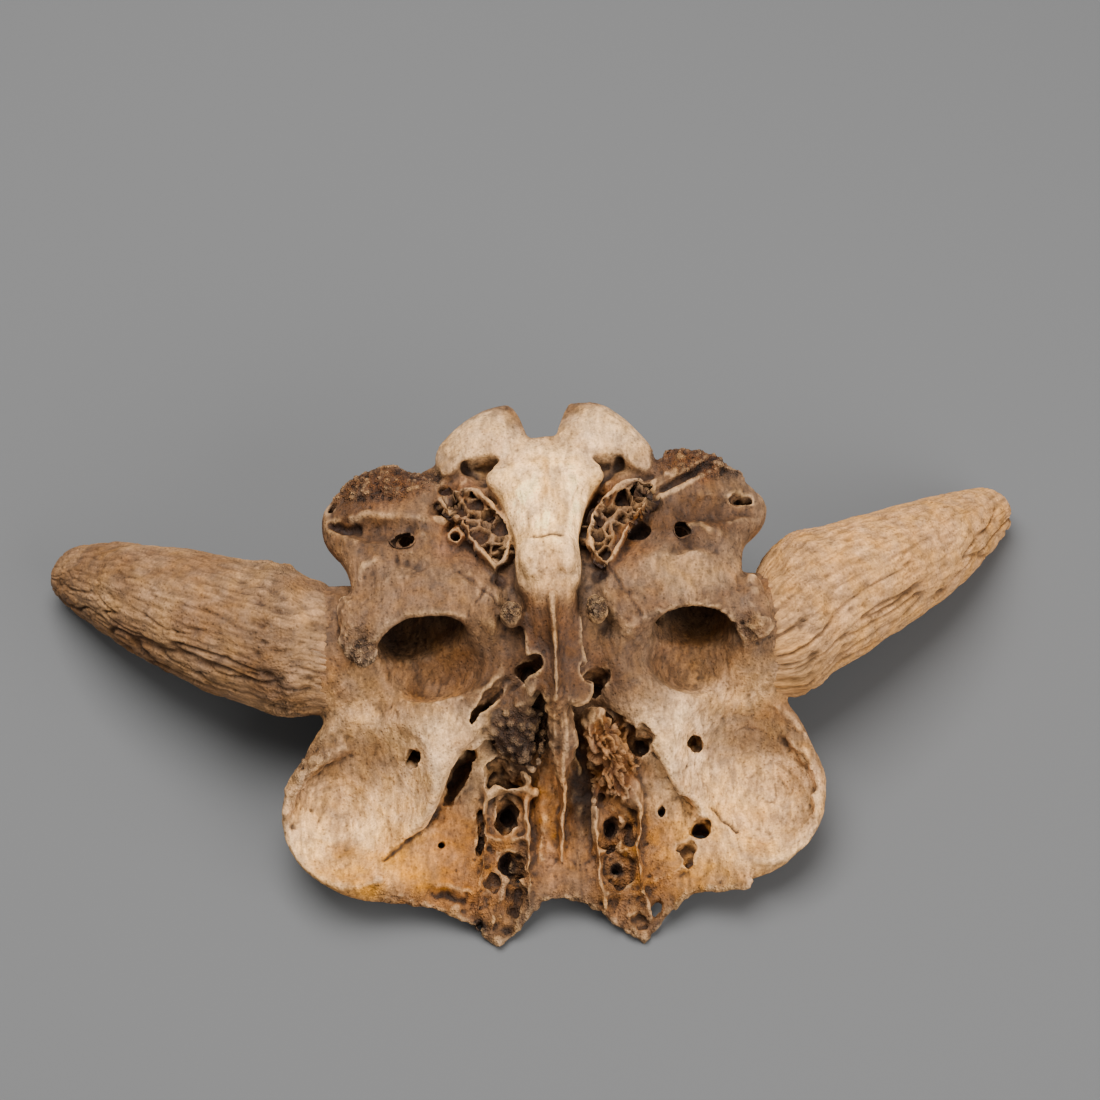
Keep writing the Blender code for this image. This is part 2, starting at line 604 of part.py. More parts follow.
def holes(bm):
    """Openings that go through or deep into the bone."""
    limb(bm, [((-86, -92, 62), 5), ((-84, -88, 40), 5), ((-80, -78, 30), 5)])
    limb(bm, [((83, -92, 62), 6, 5), ((81, -88, 40), 5), ((78, -78, 30), 5)])
    limb(bm, [((-84, 27, 110), 6, 4), ((-82, 30, 90), 5, 4)])
    limb(bm, [((82, 22, 110), 4), ((81, 25, 90), 4)])
    limb(bm, [((-125, 57, 96), 3), ((-125, 57, 84), 2.5)])
    limb(bm, [((120, 46, 98), 8, 3), ((120, 46, 84), 7, 3)])
    limb(bm, [((-22, -51, 86), 3, 7), ((-31, -60, 74), 3, 8), ((-43, -70, 64), 3, 8), ((-52, -80, 54), 3, 8)])
    limb(bm, [((-53, -86, 40), 5, 16), ((-60, -96, 32), 6, 15), ((-66, -108, 24), 4, 10)])
    limb(bm, [((11, -80, 58), 3.5, 14), ((15, -100, 40), 3.5, 14), ((15, -120, 24), 2.6, 9)])
    limb(bm, [((-10, -80, 58), 3, 12), ((-13, -94, 42), 3, 10)])
    limb(bm, [((-46, -112, 22), 2.4, 8), ((-48, -128, 14), 2.4, 8), ((-48, -146, 8), 2.4, 6)])
    limb(bm, [((23, -62, 92), 8, 6), ((24, -58, 70), 8, 7), ((24, -56, 50), 6, 6)])
    limb(bm, [((50, -89, 62), 6, 5), ((50, -88, 42), 6, 6), ((50, -86, 30), 6, 6)])
    limb(bm, [((52, -100, 40), 4, 8), ((58, -108, 32), 4, 7)])
    limb(bm, [((-12, -58, 96), 8, 5), ((-14, -54, 80), 8, 6), ((-14, -52, 66), 6, 6)])
    for outline, depth in CELLS:
        pit(bm, outline, depth)
    for at, wide, deep in SMALL_HOLES:
        limb(bm, [((at[0], at[1], at[2] + 6), wide), ((at[0], at[1], at[2] - deep), wide)])
    chance = random.Random(SEED)
    for outline in (BULLA_LEFT, BULLA_RIGHT):
        for x, y in scatter(outline, CELL_GAP, SEED):
            size = chance.uniform(3, 4)
            longer = size * chance.uniform(1, 1.4)
            ball(bm, (x, y, 103), (size, longer, 9), (0, 0, chance.uniform(0, 90)), level=2)


def additions(bm):
    """All that is set onto the big forms."""
    collars(bm)
    skull_base(bm)
    brow_cavities(bm)
    rims(bm)


def cuts(bm):
    """All that is cut into the finished forms."""
    grooves(bm)
    holes(bm)


def clear_scene():
    for item in list(bpy.data.objects):
        bpy.data.objects.remove(item, do_unlink=True)


def bone():
    material = bpy.data.materials.new("bone")
    material.use_nodes = True
    shader = material.node_tree.nodes["Principled BSDF"]
    shader.inputs["Base Color"].default_value = BONE_COLOUR
    shader.inputs["Roughness"].default_value = BONE_ROUGHNESS
    return material


def build_skull():
    skull = mesh_object("skull", masses)
    fuse(skull, 6, COARSE)
    apply_modifiers(skull)
    combine(skull, hollows, "DIFFERENCE", 2, COARSE)
    combine(skull, additions, "UNION", 1, FINE)
    combine(skull, cuts, "DIFFERENCE", 0, FINE)
    fewer = skull.modifiers.new("fewer_faces", "DECIMATE")
    fewer.ratio = FACES / (2 * len(skull.data.polygons))
    skull.data.materials.append(bone())
    skull.data.shade_smooth()
    return skull


clear_scene()
build_skull()
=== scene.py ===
"""The looks of a buffalo skull without its face, which rests upside down on its brow and horn cores.

The forms are placed in the skull's own frame, in millimetres: +X to the right with the underside up,
+Y towards the neck and +Z towards the underside. PITCH, SHIFT and LIFT lay that frame on the ground.
"""

import math
import random

import bmesh
import bpy
import numpy as np
from mathutils import Euler, Matrix, Vector


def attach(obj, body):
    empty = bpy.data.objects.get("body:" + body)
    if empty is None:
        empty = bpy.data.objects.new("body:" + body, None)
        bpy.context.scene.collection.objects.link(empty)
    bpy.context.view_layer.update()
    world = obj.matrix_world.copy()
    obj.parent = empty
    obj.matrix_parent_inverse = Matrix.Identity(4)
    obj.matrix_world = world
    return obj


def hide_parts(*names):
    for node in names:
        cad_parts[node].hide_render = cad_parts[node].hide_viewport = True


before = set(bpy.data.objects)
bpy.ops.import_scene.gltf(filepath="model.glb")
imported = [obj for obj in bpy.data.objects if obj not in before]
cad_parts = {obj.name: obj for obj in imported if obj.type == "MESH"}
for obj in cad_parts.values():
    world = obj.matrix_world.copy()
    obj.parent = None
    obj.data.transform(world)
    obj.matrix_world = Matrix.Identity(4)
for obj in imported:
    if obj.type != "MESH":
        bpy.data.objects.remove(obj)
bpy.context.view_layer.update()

MM = 0.001
PITCH = 5.5  # degrees by which the neck end is raised on the horn tips
SHIFT = (1.0, 39.0)  # moves the middle of the skull over the origin
LIFT = 28.7  # raises the lowest points to the ground
GROUND = Matrix.Translation((*SHIFT, LIFT)) @ Matrix.Rotation(math.radians(PITCH), 4, "X")
SKULL = Matrix.Scale(MM, 4) @ GROUND
TO_SKULL = np.array(SKULL.inverted())

COARSE, FINE = 2.4, 1.1  # voxels for the big forms and for the surface
TORN, RAGGED = 2.2, 3  # how uneven the torn bone and the edges of the holes are made
LEFT, RIGHT = -1, 1

# Horn cores: centre line points, with the half thickness front to back and up and down.
HORN_LEFT = (
    (-70, -12, 22, 44, 36),
    (-112, -16, 40, 43, 36),
    (-132, -14, 45, 40, 36),
    (-171, -2, 44, 43, 39),
    (-209, 19, 36, 40, 37),
    (-241, 41, 22, 34, 33),
    (-270, 65, 1, 27, 26),
    (-288, 80, -16, 21, 20),
)
HORN_RIGHT = (
    (70, -12, 22, 44, 36),
    (112, -20, 40, 43, 36),
    (132, -21, 46, 39, 36),
    (168, 3, 42, 42, 38),
    (202, 24, 31, 38, 36),
    (239, 49, 13, 32, 31),
    (268, 74, -7, 25, 24),
    (288, 91, -20, 19, 18),
)

# Outlines seen from below, each point with its height: the plates that the jaw hinged on,
# and the broken front of the brow.
CHEEK_LEFT = (
    (-62, 68, 100), (-76, 76, 98), (-90, 82, 96), (-106, 79, 95), (-119, 71, 92), (-131, 58, 87),
    (-132, 44, 86), (-127, 31, 88), (-120, 21, 90), (-116, 6, 92), (-117, -8, 93), (-120, -26, 90),
    (-116, -38, 88), (-109, -43, 87), (-101, -34, 92), (-91, -26, 97), (-76, -24, 99), (-62, -28, 98),
    (-50, -36, 95), (-38, -42, 90), (-28, -17, 98), (-28, 8, 92), (-40, 24, 90), (-58, 46, 92),
)
CHEEK_RIGHT = (
    (67, 67, 100), (80, 80, 98), (93, 81, 97), (105, 78, 96), (118, 66, 94), (129, 56, 90),
    (136, 48, 86), (133, 35, 85), (124, 25, 87), (118, 17, 90), (116, 1, 92), (116, -12, 93),
    (119, -24, 92), (124, -35, 90), (120, -44, 88), (111, -47, 88), (103, -42, 92), (96, -36, 96),
    (87, -31, 99), (74, -28, 99), (60, -38, 95), (46, -44, 90), (31, -16, 98), (30, 6, 92),
    (46, 24, 90), (62, 44, 92),
)
FRONT_LEFT = (
    (-110, -163, 14), (-97, -163, 12), (-80, -167, 6), (-60, -176, 0), (-49, -184, -4), (-41, -189, -5),
    (-36, -187, -5), (-28, -181, -1), (-22, -175, 2), (-13, -168, 5), (-16, -140, 8), (-20, -108, 18),
    (-40, -92, 26), (-57, -95, 24), (-70, -112, 18), (-87, -127, 14), (-104, -138, 14),
)
FRONT_RIGHT = (
    (-3, -167, 5), (6, -168, 5), (18, -174, 2), (29, -183, -3), (44, -193, -5), (48, -190, -5),
    (59, -180, 2), (69, -173, 8), (80, -170, 10), (96, -171, 14), (110, -168, 17), (102, -142, 14),
    (84, -128, 14), (70, -118, 18), (56, -99, 26), (40, -86, 28), (20, -92, 26), (16, -120, 14),
)

# The floor of the open brow, whose walls stand straight up from this outline.
SINUS_FLOOR = (
    (-18, -70, 60), (-33, -73, 56), (-48, -85, 46), (-57, -93, 38), (-66, -105, 30), (-70, -114, 24),
    (-77, -123, 19), (-87, -129, 16), (-97, -134, 17), (-105, -141, 19), (-104, -160, 16), (-92, -182, 6),
    (-60, -202, -4), (0, -208, -6), (60, -202, -4), (96, -188, 8), (110, -168, 18), (107, -148, 20),
    (96, -138, 19), (83, -130, 17), (70, -124, 21), (63, -110, 28), (56, -99, 34), (49, -88, 42),
    (38, -81, 48), (27, -78, 52), (14, -74, 58),
)

# The bony pockets behind the ears, seen from below.
BULLA_LEFT = (
    (-60, 55), (-52, 59), (-42, 56), (-31, 45), (-24, 34), (-21, 23), (-22, 16), (-28, 10), (-39, 18),
    (-49, 29), (-56, 42),
)
BULLA_RIGHT = (
    (66, 58), (57, 57), (46, 51), (32, 41), (26, 24), (29, 10), (35, 4), (42, 15), (48, 26), (58, 37),
    (67, 48),
)

# The raised granular ends of the cheek plates.
MASTOID_LEFT = (
    (-126, 62, 92), (-119, 71, 95), (-106, 78, 98), (-94, 80, 99), (-86, 80, 100), (-76, 75, 101),
    (-64, 66, 103), (-60, 54, 102), (-72, 48, 100), (-91, 53, 98), (-111, 59, 95),
)
MASTOID_RIGHT = (
    (66, 67, 103), (80, 80, 101), (93, 80, 100), (105, 77, 99), (118, 66, 97), (124, 60, 95),
    (108, 66, 97), (90, 60, 99), (73, 50, 101),
)

# The pale bar along the middle, the knobs of the neck joint, and the top of the keel.
MIDDLE_BAR = (
    (-6, 90, 106), (-20, 76, 110), (-30, 66, 110), (-31, 56, 107), (-25, 46, 109), (-21, 32, 110),
    (-18, 16, 110), (-19, 2, 109), (-18, -10, 107), (-11, -19, 106), (0, -22, 106), (10, -19, 106),
    (18, -10, 107), (20, 2, 109), (19, 16, 110), (23, 32, 110), (28, 46, 109), (35, 56, 107),
    (35, 66, 110), (26, 76, 110), (12, 90, 106),
)
KNOB_LEFT = (
    (-16, 122, 95), (-11, 112, 100), (-6, 92, 106), (-8, 80, 110), (-22, 75, 111), (-34, 76, 111),
    (-45, 73, 110), (-53, 67, 108), (-59, 68, 106), (-62, 78, 102), (-60, 90, 100), (-48, 105, 98),
    (-31, 117, 96),
)
KNOB_RIGHT = (
    (21, 120, 95), (37, 119, 96), (51, 108, 98), (61, 94, 100), (69, 81, 102), (69, 71, 105),
    (64, 62, 107), (57, 64, 109), (48, 71, 110), (34, 73, 111), (20, 74, 111), (12, 80, 110),
    (12, 92, 106), (16, 106, 101),
)
KEEL_TOP = (
    (-16, -74, 84), (-9, -69, 85), (-6, -77, 85), (5, -78, 85), (13, -81, 84), (20, -77, 84),
    (23, -66, 86), (18, -46, 92), (16, -24, 98), (-14, -24, 98), (-16, -46, 92), (-18, -62, 86),
)

# Thin walls between the open cells of the brow, then the pits between them with their depths.
CELL_WALLS = (
    [(-42, -98, 26), (-45, -118, 17), (-46, -135, 10), (-49, -152, 6), (-52, -172, 1)],
    [(-19, -99, 28), (-20, -120, 20), (-21, -138, 11), (-21, -155, 6), (-22, -171, 2)],
    [(22, -97, 30), (21, -120, 21), (20, -140, 11), (21, -160, 5), (23, -174, 1)],
    [(46, -112, 26), (46, -131, 15), (44, -147, 9), (45, -165, 4), (49, -180, -3)],
    [(-43, -131, 12), (-33, -133, 10), (-22, -132, 12)],
    [(-45, -157, 5), (-35, -154, 4), (-23, -157, 5)],
    [(21, -143, 10), (33, -142, 9), (45, -141, 10)],
    [(22, -166, 3), (32, -168, 2), (44, -168, 3)],
)
CELLS = (
    (((-41, -88, 44), (-34, -88, 44), (-27, -93, 42), (-21, -99, 38), (-19, -105, 34), (-27, -106, 32),
      (-35, -105, 34), (-41, -102, 36), (-44, -95, 40)), 26),
    (((-37, -111, 26), (-30, -109, 26), (-25, -113, 26), (-24, -119, 22), (-28, -127, 20), (-35, -129, 20),
      (-38, -125, 20), (-39, -116, 22)), 18),
    (((-38, -139, 14), (-32, -138, 14), (-25, -142, 14), (-22, -149, 12), (-23, -154, 10), (-30, -155, 10),
      (-36, -150, 11), (-39, -145, 14)), 14),
    (((-36, -157, 6), (-31, -155, 6), (-24, -160, 6), (-25, -168, 4), (-29, -175, 2), (-34, -170, 4),
      (-37, -164, 6)), 7),
    (((-42, -164, 5), (-38, -167, 4), (-33, -172, 1), (-30, -181, 0), (-33, -186, -2), (-40, -186, -2),
      (-43, -179, 1)), 3.5),
    (((-45, -149, 11), (-39, -150, 9), (-39, -156, 9), (-42, -162, 9), (-45, -159, 9), (-46, -153, 9)), 4),
    (((24, -126, 20), (28, -122, 20), (34, -124, 20), (34, -133, 19), (31, -140, 16), (25, -141, 15),
      (21, -139, 15), (21, -134, 20)), 14),
    (((36, -127, 20), (40, -123, 20), (44, -125, 20), (45, -135, 20), (42, -139, 18), (36, -138, 18),
      (34, -133, 20)), 12),
    (((24, -146, 13), (29, -141, 14), (37, -142, 14), (41, -149, 10), (41, -158, 8), (37, -163, 6),
      (30, -163, 6), (24, -158, 10), (22, -150, 10)), 8),
    (((38, -179, 1), (43, -176, 1), (47, -181, 1), (46, -186, -1), (42, -187, -2), (37, -185, 1)), 3.5),
    (((48, -174, 4), (53, -170, 5), (57, -172, 5), (55, -177, 4), (50, -179, 2)), 9),
    (((17, -116, 32), (23, -114, 34), (32, -117, 32), (42, -121, 30), (45, -126, 26), (34, -122, 28),
      (25, -121, 28)), 12),
    (((67, -144, 10), (74, -141, 11), (79, -146, 10), (77, -151, 9), (73, -155, 8), (70, -150, 9)), 5),
)

# Small round holes: where, how wide and how deep.
SMALL_HOLES = (
    (-31, -113, 18, 5, 16),
    (-34, -142, 10, 4, 10),
    (29, -125, 16, 4, 14),
    (31, -149, 8, 2.4, 12),
    (59, -121, 20, 2.4, 16),
    (82, -133, 13, 6, 16),
    (-72, -132, 13, 2.4, 10),
    (-52, -178, 2, 2.2, 7),
    (-29, -2, 108, 2.4, 14),
    (-53, 28, 100, 3, 9),
    (56, 28, 100, 5, 10),
    (31, -2, 108, 2.6, 14),
)

# Where the surface is rough or broken: middles and half sizes.
ROUGH_PATCHES = (
    ((-90, 66, 94), (34, 16, 12)),
    ((92, 72, 93), (30, 16, 12)),
    ((-113, -34, 86), (9, 12, 14)),
    ((116, -37, 86), (10, 10, 14)),
    ((-20, -84, 52), (18, 22, 20)),
    ((-23, -27, 106), (8, 9, 8)),
    ((27, -27, 106), (9, 10, 8)),
    ((-150, -92, 38), (18, 30, 10)),
    ((-40, -150, 4), (26, 36, 16)),
    ((40, -150, 4), (26, 36, 16)),
)
GRAIN_PATCHES = (
    ((-91, 68, 96), (32, 13, 14)),
    ((93, 72, 95), (30, 14, 14)),
    ((-23, -27, 108), (6, 8, 8)),
    ((27, -27, 108), (7, 9, 8)),
    ((-110, -40, 84), (8, 9, 12)),
)
SPONGE_AT = ((-20, -84, 54), (20, 17, 18))
SCROLLS_AT = ((31, -96, 44), (17, 26, 22))
FRONT_EDGE = (
    (-110, -163, 14), (-80, -167, 6), (-60, -176, 0), (-41, -189, -5), (-22, -175, 2), (-3, -167, 5),
    (18, -174, 2), (44, -193, -5), (69, -173, 8), (96, -171, 14),
)

# Ridges, grooves, sutures and cracks: how high or deep, how wide, and where.
LINES = (
    (-1.6, 1.2, [(-10, 15, 121), (-3, 13, 121), (4, 15, 121), (11, 14, 121)]),
    (-1.4, 1.2, [(-52, 4, 100), (-40, -8, 98), (-28, -20, 98)]),
    (-1.4, 1.1, [(-37, -8, 98), (-41, -15, 97), (-47, -21, 96), (-49, -28, 96), (-55, -34, 94)]),
    (-1.4, 1.1, [(36, 2, 100), (42, -8, 99), (44, -14, 98), (50, -22, 97), (53, -30, 95)]),
    (-2.2, 6, [(-110, -4, 97), (-104, 3, 98), (-96, 8, 100), (-84, 8, 101), (-76, 5, 101)]),
    (-3.2, 13, [(-100, 28, 98), (-80, 22, 102), (-62, 10, 101)]),
    (-2.6, 12, [(-104, -8, 98), (-84, -8, 101)]),
    (2, 4, [(-108, 12, 98), (-96, 17, 100), (-80, 17, 101)]),
    (-1.8, 7, [(74, 10, 101), (80, 15, 102), (90, 17, 101), (101, 13, 100)]),
    (-3, 13, [(100, 34, 98), (80, 32, 102), (62, 20, 101)]),
    (-2.6, 12, [(104, -6, 98), (84, -6, 101)]),
    (1.2, 5, [(84, 26, 102), (92, 27, 101), (104, 21, 100)]),
    (1.5, 4, [(-112, 46, 96), (-100, 46, 97), (-88, 43, 98), (-74, 41, 99), (-61, 37, 99)]),
    (-3.6, 2.4, [(73, 52, 100), (82, 57, 100), (94, 64, 99), (107, 73, 97)]),
    (1.8, 2.4, [(70, 47, 100), (84, 52, 100), (98, 61, 99), (110, 68, 96)]),
    (-4.5, 2.4, [(-126, 47, 90), (-118, 42, 91), (-110, 41, 93)]),
    (-1.8, 1.3, [(-14, -147, 6), (-8, -149, 6), (-1, -140, 8), (7, -149, 6), (14, -147, 6)]),
    (-1.5, 1.2, [(-1, -141, 8), (0, -150, 6), (-2, -160, 4), (-1, -172, 2)]),
    (1.8, 1.5, [(-12, -94, 34), (-14, -108, 28), (-15, -122, 22), (-12, -143, 10)]),
    (1.8, 1.5, [(19, -92, 36), (20, -113, 26), (18, -142, 12)]),
    (-1.6, 1.4, [(-73, -118, 26), (-80, -124, 20), (-92, -132, 18)]),
    (-1.5, 1.2, [(-96, -60, 60), (-88, -72, 54), (-80, -84, 44)]),
    (-1.5, 1.3, [(104, -78, 50), (98, -92, 44), (92, -104, 36)]),
    (-2.4, 1.8, [(58, -92, 40), (68, -107, 28), (78, -115, 22), (90, -124, 18), (103, -136, 15)]),
    (-2.4, 1.8, [(-58, -96, 36), (-67, -108, 28), (-78, -122, 20), (-88, -129, 16), (-104, -140, 17)]),
    (-3, 2.9, [(-128, -84, 36), (-140, -92, 34), (-150, -104, 32), (-155, -118, 28)]),
    (-2.2, 2.9, [(134, -86, 34), (146, -100, 32), (150, -116, 30)]),
    (2, 2.4, [(-90, -148, 8), (-76, -154, 6), (-62, -157, 5), (-50, -166, 1)]),
    (-2.2, 2.2, [(-88, -154, 6), (-74, -160, 4), (-60, -164, 3)]),
    (-1.6, 1.6, [(-12, -3, 118), (-9, -5, 118)]),
    (-1.6, 1.6, [(16, 8, 118), (17, 5, 118)]),
    (-3.2, 2.8, [(-53, 76, 102), (-42, 72, 103), (-31, 66, 106)]),
    (-3.2, 2.8, [(59, 78, 101), (48, 71, 103), (37, 62, 105)]),
    (1.4, 2.4, [(-57, -68, 62), (-64, -84, 54), (-72, -104, 40), (-84, -120, 26)]),
    (1.4, 2.4, [(62, -68, 62), (68, -84, 52), (78, -104, 36), (90, -120, 26)]),
)

# Linear colours of the bone, from the photograph.
TONE = {
    "tan": (0.200, 0.105, 0.053),
    "grey": (0.165, 0.094, 0.052),
    "cream": (0.94, 0.57, 0.275),
    "worn": (0.64, 0.40, 0.215),
    "pale": (0.56, 0.325, 0.160),
    "rust": (0.20, 0.074, 0.024),
    "red": (0.22, 0.085, 0.036),
    "gold": (0.50, 0.225, 0.064),
    "orange": (0.34, 0.140, 0.048),
    "brown": (0.085, 0.037, 0.016),
    # painted shade: the darkness deep down in holes, pits, slots and grooves
    "painted_shade": (0.026, 0.012, 0.006),
    # dirt on rough patches, and painted shade in hollows, cells, cracks and grooves
    "dirt_and_shade": (0.030, 0.013, 0.006),
    "horn": (0.175, 0.092, 0.046),
    "horn_light": (0.29, 0.165, 0.085),
    "horn_warm": (0.56, 0.30, 0.135),
}
CONTRAST, CONTRAST_AT = 0.22, 0.30  # makes colours below this brightness darker and others lighter

# Stains and painted shade: colour, middle, half sizes and strength, each laid over the ones before it.
ZONES = (
    ("pale", (-105, -95, 30), (60, 70, 40), 0.8),
    ("pale", (110, -95, 30), (60, 70, 40), 0.9),
    ("worn", (-66, -90, 52), (34, 24, 26), 0.75),
    ("worn", (76, -92, 50), (40, 28, 26), 0.9),
    ("cream", (-112, -130, 22), (46, 28, 18), 0.75),
    ("cream", (104, -140, 22), (34, 26, 18), 0.5),
    # painted shade on the upper walls of the eye sockets
    ("brown", (124, -82, 38), (38, 18, 20), 0.7),
    ("brown", (-126, -82, 38), (34, 15, 18), 0.6),
    ("rust", (-70, -44, 58), (30, 24, 22), 0.35),
    ("tan", (-78, -34, 58), (24, 16, 18), 0.6),
    ("rust", (88, -44, 58), (30, 24, 22), 0.35),
    ("tan", (84, -34, 58), (24, 16, 18), 0.6),
    ("cream", (2, 40, 118), (34, 52, 22), 0.95),
    ("worn", (-38, 92, 112), (30, 24, 18), 0.8),
    ("worn", (42, 90, 112), (30, 24, 18), 0.9),
    ("pale", (0, -6, 112), (20, 16, 14), 0.6),
    ("red", (-90, 66, 94), (32, 13, 14), 0.85),
    ("red", (92, 71, 93), (30, 14, 14), 0.85),
    ("brown", (-122, 50, 88), (20, 16, 14), 0.85),
    ("pale", (84, -6, 100), (34, 14, 14), 0.3),
    ("grey", (-80, 8, 102), (36, 14, 14), 0.5),
    ("brown", (90, 26, 102), (26, 10, 12), 0.5),
    ("orange", (-66, -140, 8), (40, 46, 22), 0.9),
    ("gold", (84, -142, 8), (34, 32, 16), 0.6),
    ("orange", (38, -145, 6), (26, 44, 22), 0.7),
    ("orange", (-8, -120, 18), (16, 46, 26), 0.8),
    ("gold", (-113, -148, 18), (32, 18, 14), 0.8),
    # painted shade deep in the cells, slots and holes of the open brow
    ("painted_shade", (-21, -86, 54), (20, 24, 20), 0.85),
    ("rust", (31, -98, 44), (18, 30, 24), 0.8),
    ("painted_shade", (13, -104, 32), (8, 30, 28), 0.9),
    ("painted_shade", (-58, -92, 26), (10, 18, 12), 0.85),
    ("painted_shade", (-38, -66, 58), (18, 16, 9), 0.6),
    ("gold", (0, 52, 121), (3, 22, 8), 0.5),
    # painted shade deep in the two temple pits
    ("painted_shade", (-92, -4, 62), (24, 24, 24), 0.9),
    ("painted_shade", (76, 4, 62), (26, 18, 20), 0.75),
    ("brown", (0, -50, 90), (28, 34, 24), 0.9),
    ("red", (-41, 36, 98), (22, 26, 12), 0.9),
    ("rust", (44, 32, 98), (20, 28, 12), 0.9),
    # painted shade under the ridges at the back of the cheek plates
    ("brown", (-96, 34, 96), (36, 13, 12), 0.5),
    ("brown", (94, 36, 98), (40, 18, 14), 0.7),
    ("brown", (-36, -56, 84), (16, 18, 18), 0.7),
    ("brown", (34, -58, 84), (16, 18, 18), 0.6),
)

HORN_STEP, HORN_SIDES = 1.15, 250  # mm between rings, and points in each ring
HORN_START = 124  # how far from the middle the skin of a core starts, under its collar
TIP_RINGS = 25
PARTS = ("brow_edge", "brow", "temples", "base", "neck")  # strips from the front to the back

FLOOR_COLOUR, FLOOR_SIZE = (0.105, 0.105, 0.105, 1), 8
FILL = 0.45  # strength of the even light from all around

# Name, place, size, power and what it points at, in metres and watts.
LIGHTS = (
    ("key", (-0.3, 0.4, 2.1), 1.6, 98, (0, 0, 0.05)),
    ("soft", (1.9, -1.9, 1.0), 2.4, 120, (0.5, -0.6, 0)),
)

# The camera: its turn and height in degrees and distance in metres, the size of a pixel of the
# photograph at the aim, and how many pixels left of and below the photograph's middle the aim is.
CAMERA_TURN, CAMERA_HEIGHT, CAMERA_DISTANCE = -4, 54.5, 1.7
AIM, AIM_LEFT, AIM_DOWN = (0, 0, 57), 3, 57
PIXEL, PHOTO_WIDTH = 0.0006, 1100
SENSOR = 36


def spline(points, steps):
    """Points on a smooth curve through the given ones, with so many steps between neighbours."""
    ends = [2 * points[0] - points[1], *points, 2 * points[-1] - points[-2]]
    found = []
    for a, b, c, d in zip(ends, ends[1:], ends[2:], ends[3:]):
        for step in range(steps):
            t = step / steps
            bend = (2 * a - 5 * b + 4 * c - d) * t**2 + (3 * b - a - 3 * c + d) * t**3
            found.append(b + 0.5 * ((c - a) * t + bend))
    return [*found, points[-1]]


def ball(bm, at, size, turn=(0, 0, 0), level=3):
    """Adds an egg: its middle, its three half sizes, and its turns about X, Y and Z in degrees."""
    turned = Euler([math.radians(angle) for angle in turn]).to_matrix().to_4x4()
    matrix = SKULL @ Matrix.Translation(at) @ turned @ Matrix.Diagonal((*size, 1))
    bmesh.ops.create_icosphere(bm, subdivisions=level, radius=1, matrix=matrix)


def bridge(bm, rings):
    """Closes a row of rings of points into a solid."""
    made = [[bm.verts.new(SKULL @ point) for point in ring] for ring in rings]
    count = len(made[0])
    for near, far in zip(made, made[1:]):
        for i in range(count):
            bm.faces.new((near[i], near[(i + 1) % count], far[(i + 1) % count], far[i]))
    bm.faces.new(made[0][::-1])
    bm.faces.new(made[-1])


def limb(bm, stations, steps=5, sides=14):
    """Adds a round-ended bar through stations.

    Each has x, y, z, the half width and, where the bar isn't round, the half height.
    """
    rows = spline([Vector((*station, station[-1])[:5]) for station in stations], steps)
    middles = [Vector(row[:3]) for row in rows]
    last = len(rows) - 1
    rings = []
    for i, row in enumerate(rows):
        along = (middles[min(i + 1, last)] - middles[max(i - 1, 0)]).normalized()
        across = along.cross(Vector((0, 0, 1)))
        if across.length < 0.2:
            across = along.cross(Vector((0, 1, 0)))
        across.normalize()
        upward = across.cross(along)
        angles = {0: (-84, -60, -30, 0), last: (0, 30, 60, 84)}.get(i, (0,))
        for tip in map(math.radians, angles):
            centre = middles[i] + along * math.sin(tip) * min(row[3], row[4])
            wide, high = across * row[3] * math.cos(tip), upward * row[4] * math.cos(tip)
            turns = [2 * math.pi * k / sides for k in range(sides)]
            rings.append([centre + wide * math.cos(a) + high * math.sin(a) for a in turns])
    bridge(bm, rings)


def limbs(bm, *bars):
    for stations in bars:
        limb(bm, stations)


def plate(bm, outline, crown, thick, rings=5):
    """Adds a plate that rises or sinks in a smooth arch from its outline to its crown."""
    crown = Vector(crown)
    rim = spline([Vector(point) for point in (*outline, outline[0])], 3)[:-1]
    upper = []
    for k in range(1, rings + 1):
        share = k / rings
        row = [crown.lerp(point, share) for point in rim]
        for point, edge in zip(row, rim):
            point.z = crown.z + (edge.z - crown.z) * share**2
        upper.append(row)
    lower = [[point - Vector((0, 0, thick)) for point in row] for row in upper]
    bridge(bm, upper + lower[::-1])


def pit(bm, outline, depth, up=8):
    """Adds a steep-walled pit from the outline of its rim, for cutting."""
    rim = spline([Vector(point) for point in (*outline, outline[0])], 3)[:-1]
    middle = sum(rim, Vector()) / len(rim)
    rings = []
    for drop, share in ((-up, 1.1), (0, 1), (0.6 * depth, 0.95), (0.9 * depth, 0.8), (depth, 0.45)):
        rings.append([Vector((*middle.lerp(point, share).xy, point.z - drop)) for point in rim])
    bridge(bm, rings)


def placed(name, data):
    """A new object in the scene."""
    made = bpy.data.objects.new(name, data)
    bpy.context.scene.collection.objects.link(made)
    return made


def mesh_object(name, build):
    """An object whose mesh is filled by the given function."""
    bm = bmesh.new()
    build(bm)
    bmesh.ops.recalc_face_normals(bm, faces=bm.faces)
    mesh = bpy.data.meshes.new(name)
    bm.to_mesh(mesh)
    bm.free()
    return placed(name, mesh)


def fuse(piece, smooth, voxel):
    """Makes one skin of the overlapping forms and rounds it."""
    remesh = piece.modifiers.new("one_skin", "REMESH")
    remesh.mode = "VOXEL"
    remesh.voxel_size = voxel * MM
    rounding = piece.modifiers.new("rounding", "SMOOTH")
    rounding.factor = 0.5
    rounding.iterations = smooth


def apply_modifiers(piece):
    """Makes what the modifiers show the mesh itself."""
    graph = bpy.context.evaluated_depsgraph_get()
    mesh = bpy.data.meshes.new_from_object(piece.evaluated_get(graph))
    piece.modifiers.clear()
    old = piece.data
    piece.data = mesh
    bpy.data.meshes.remove(old)


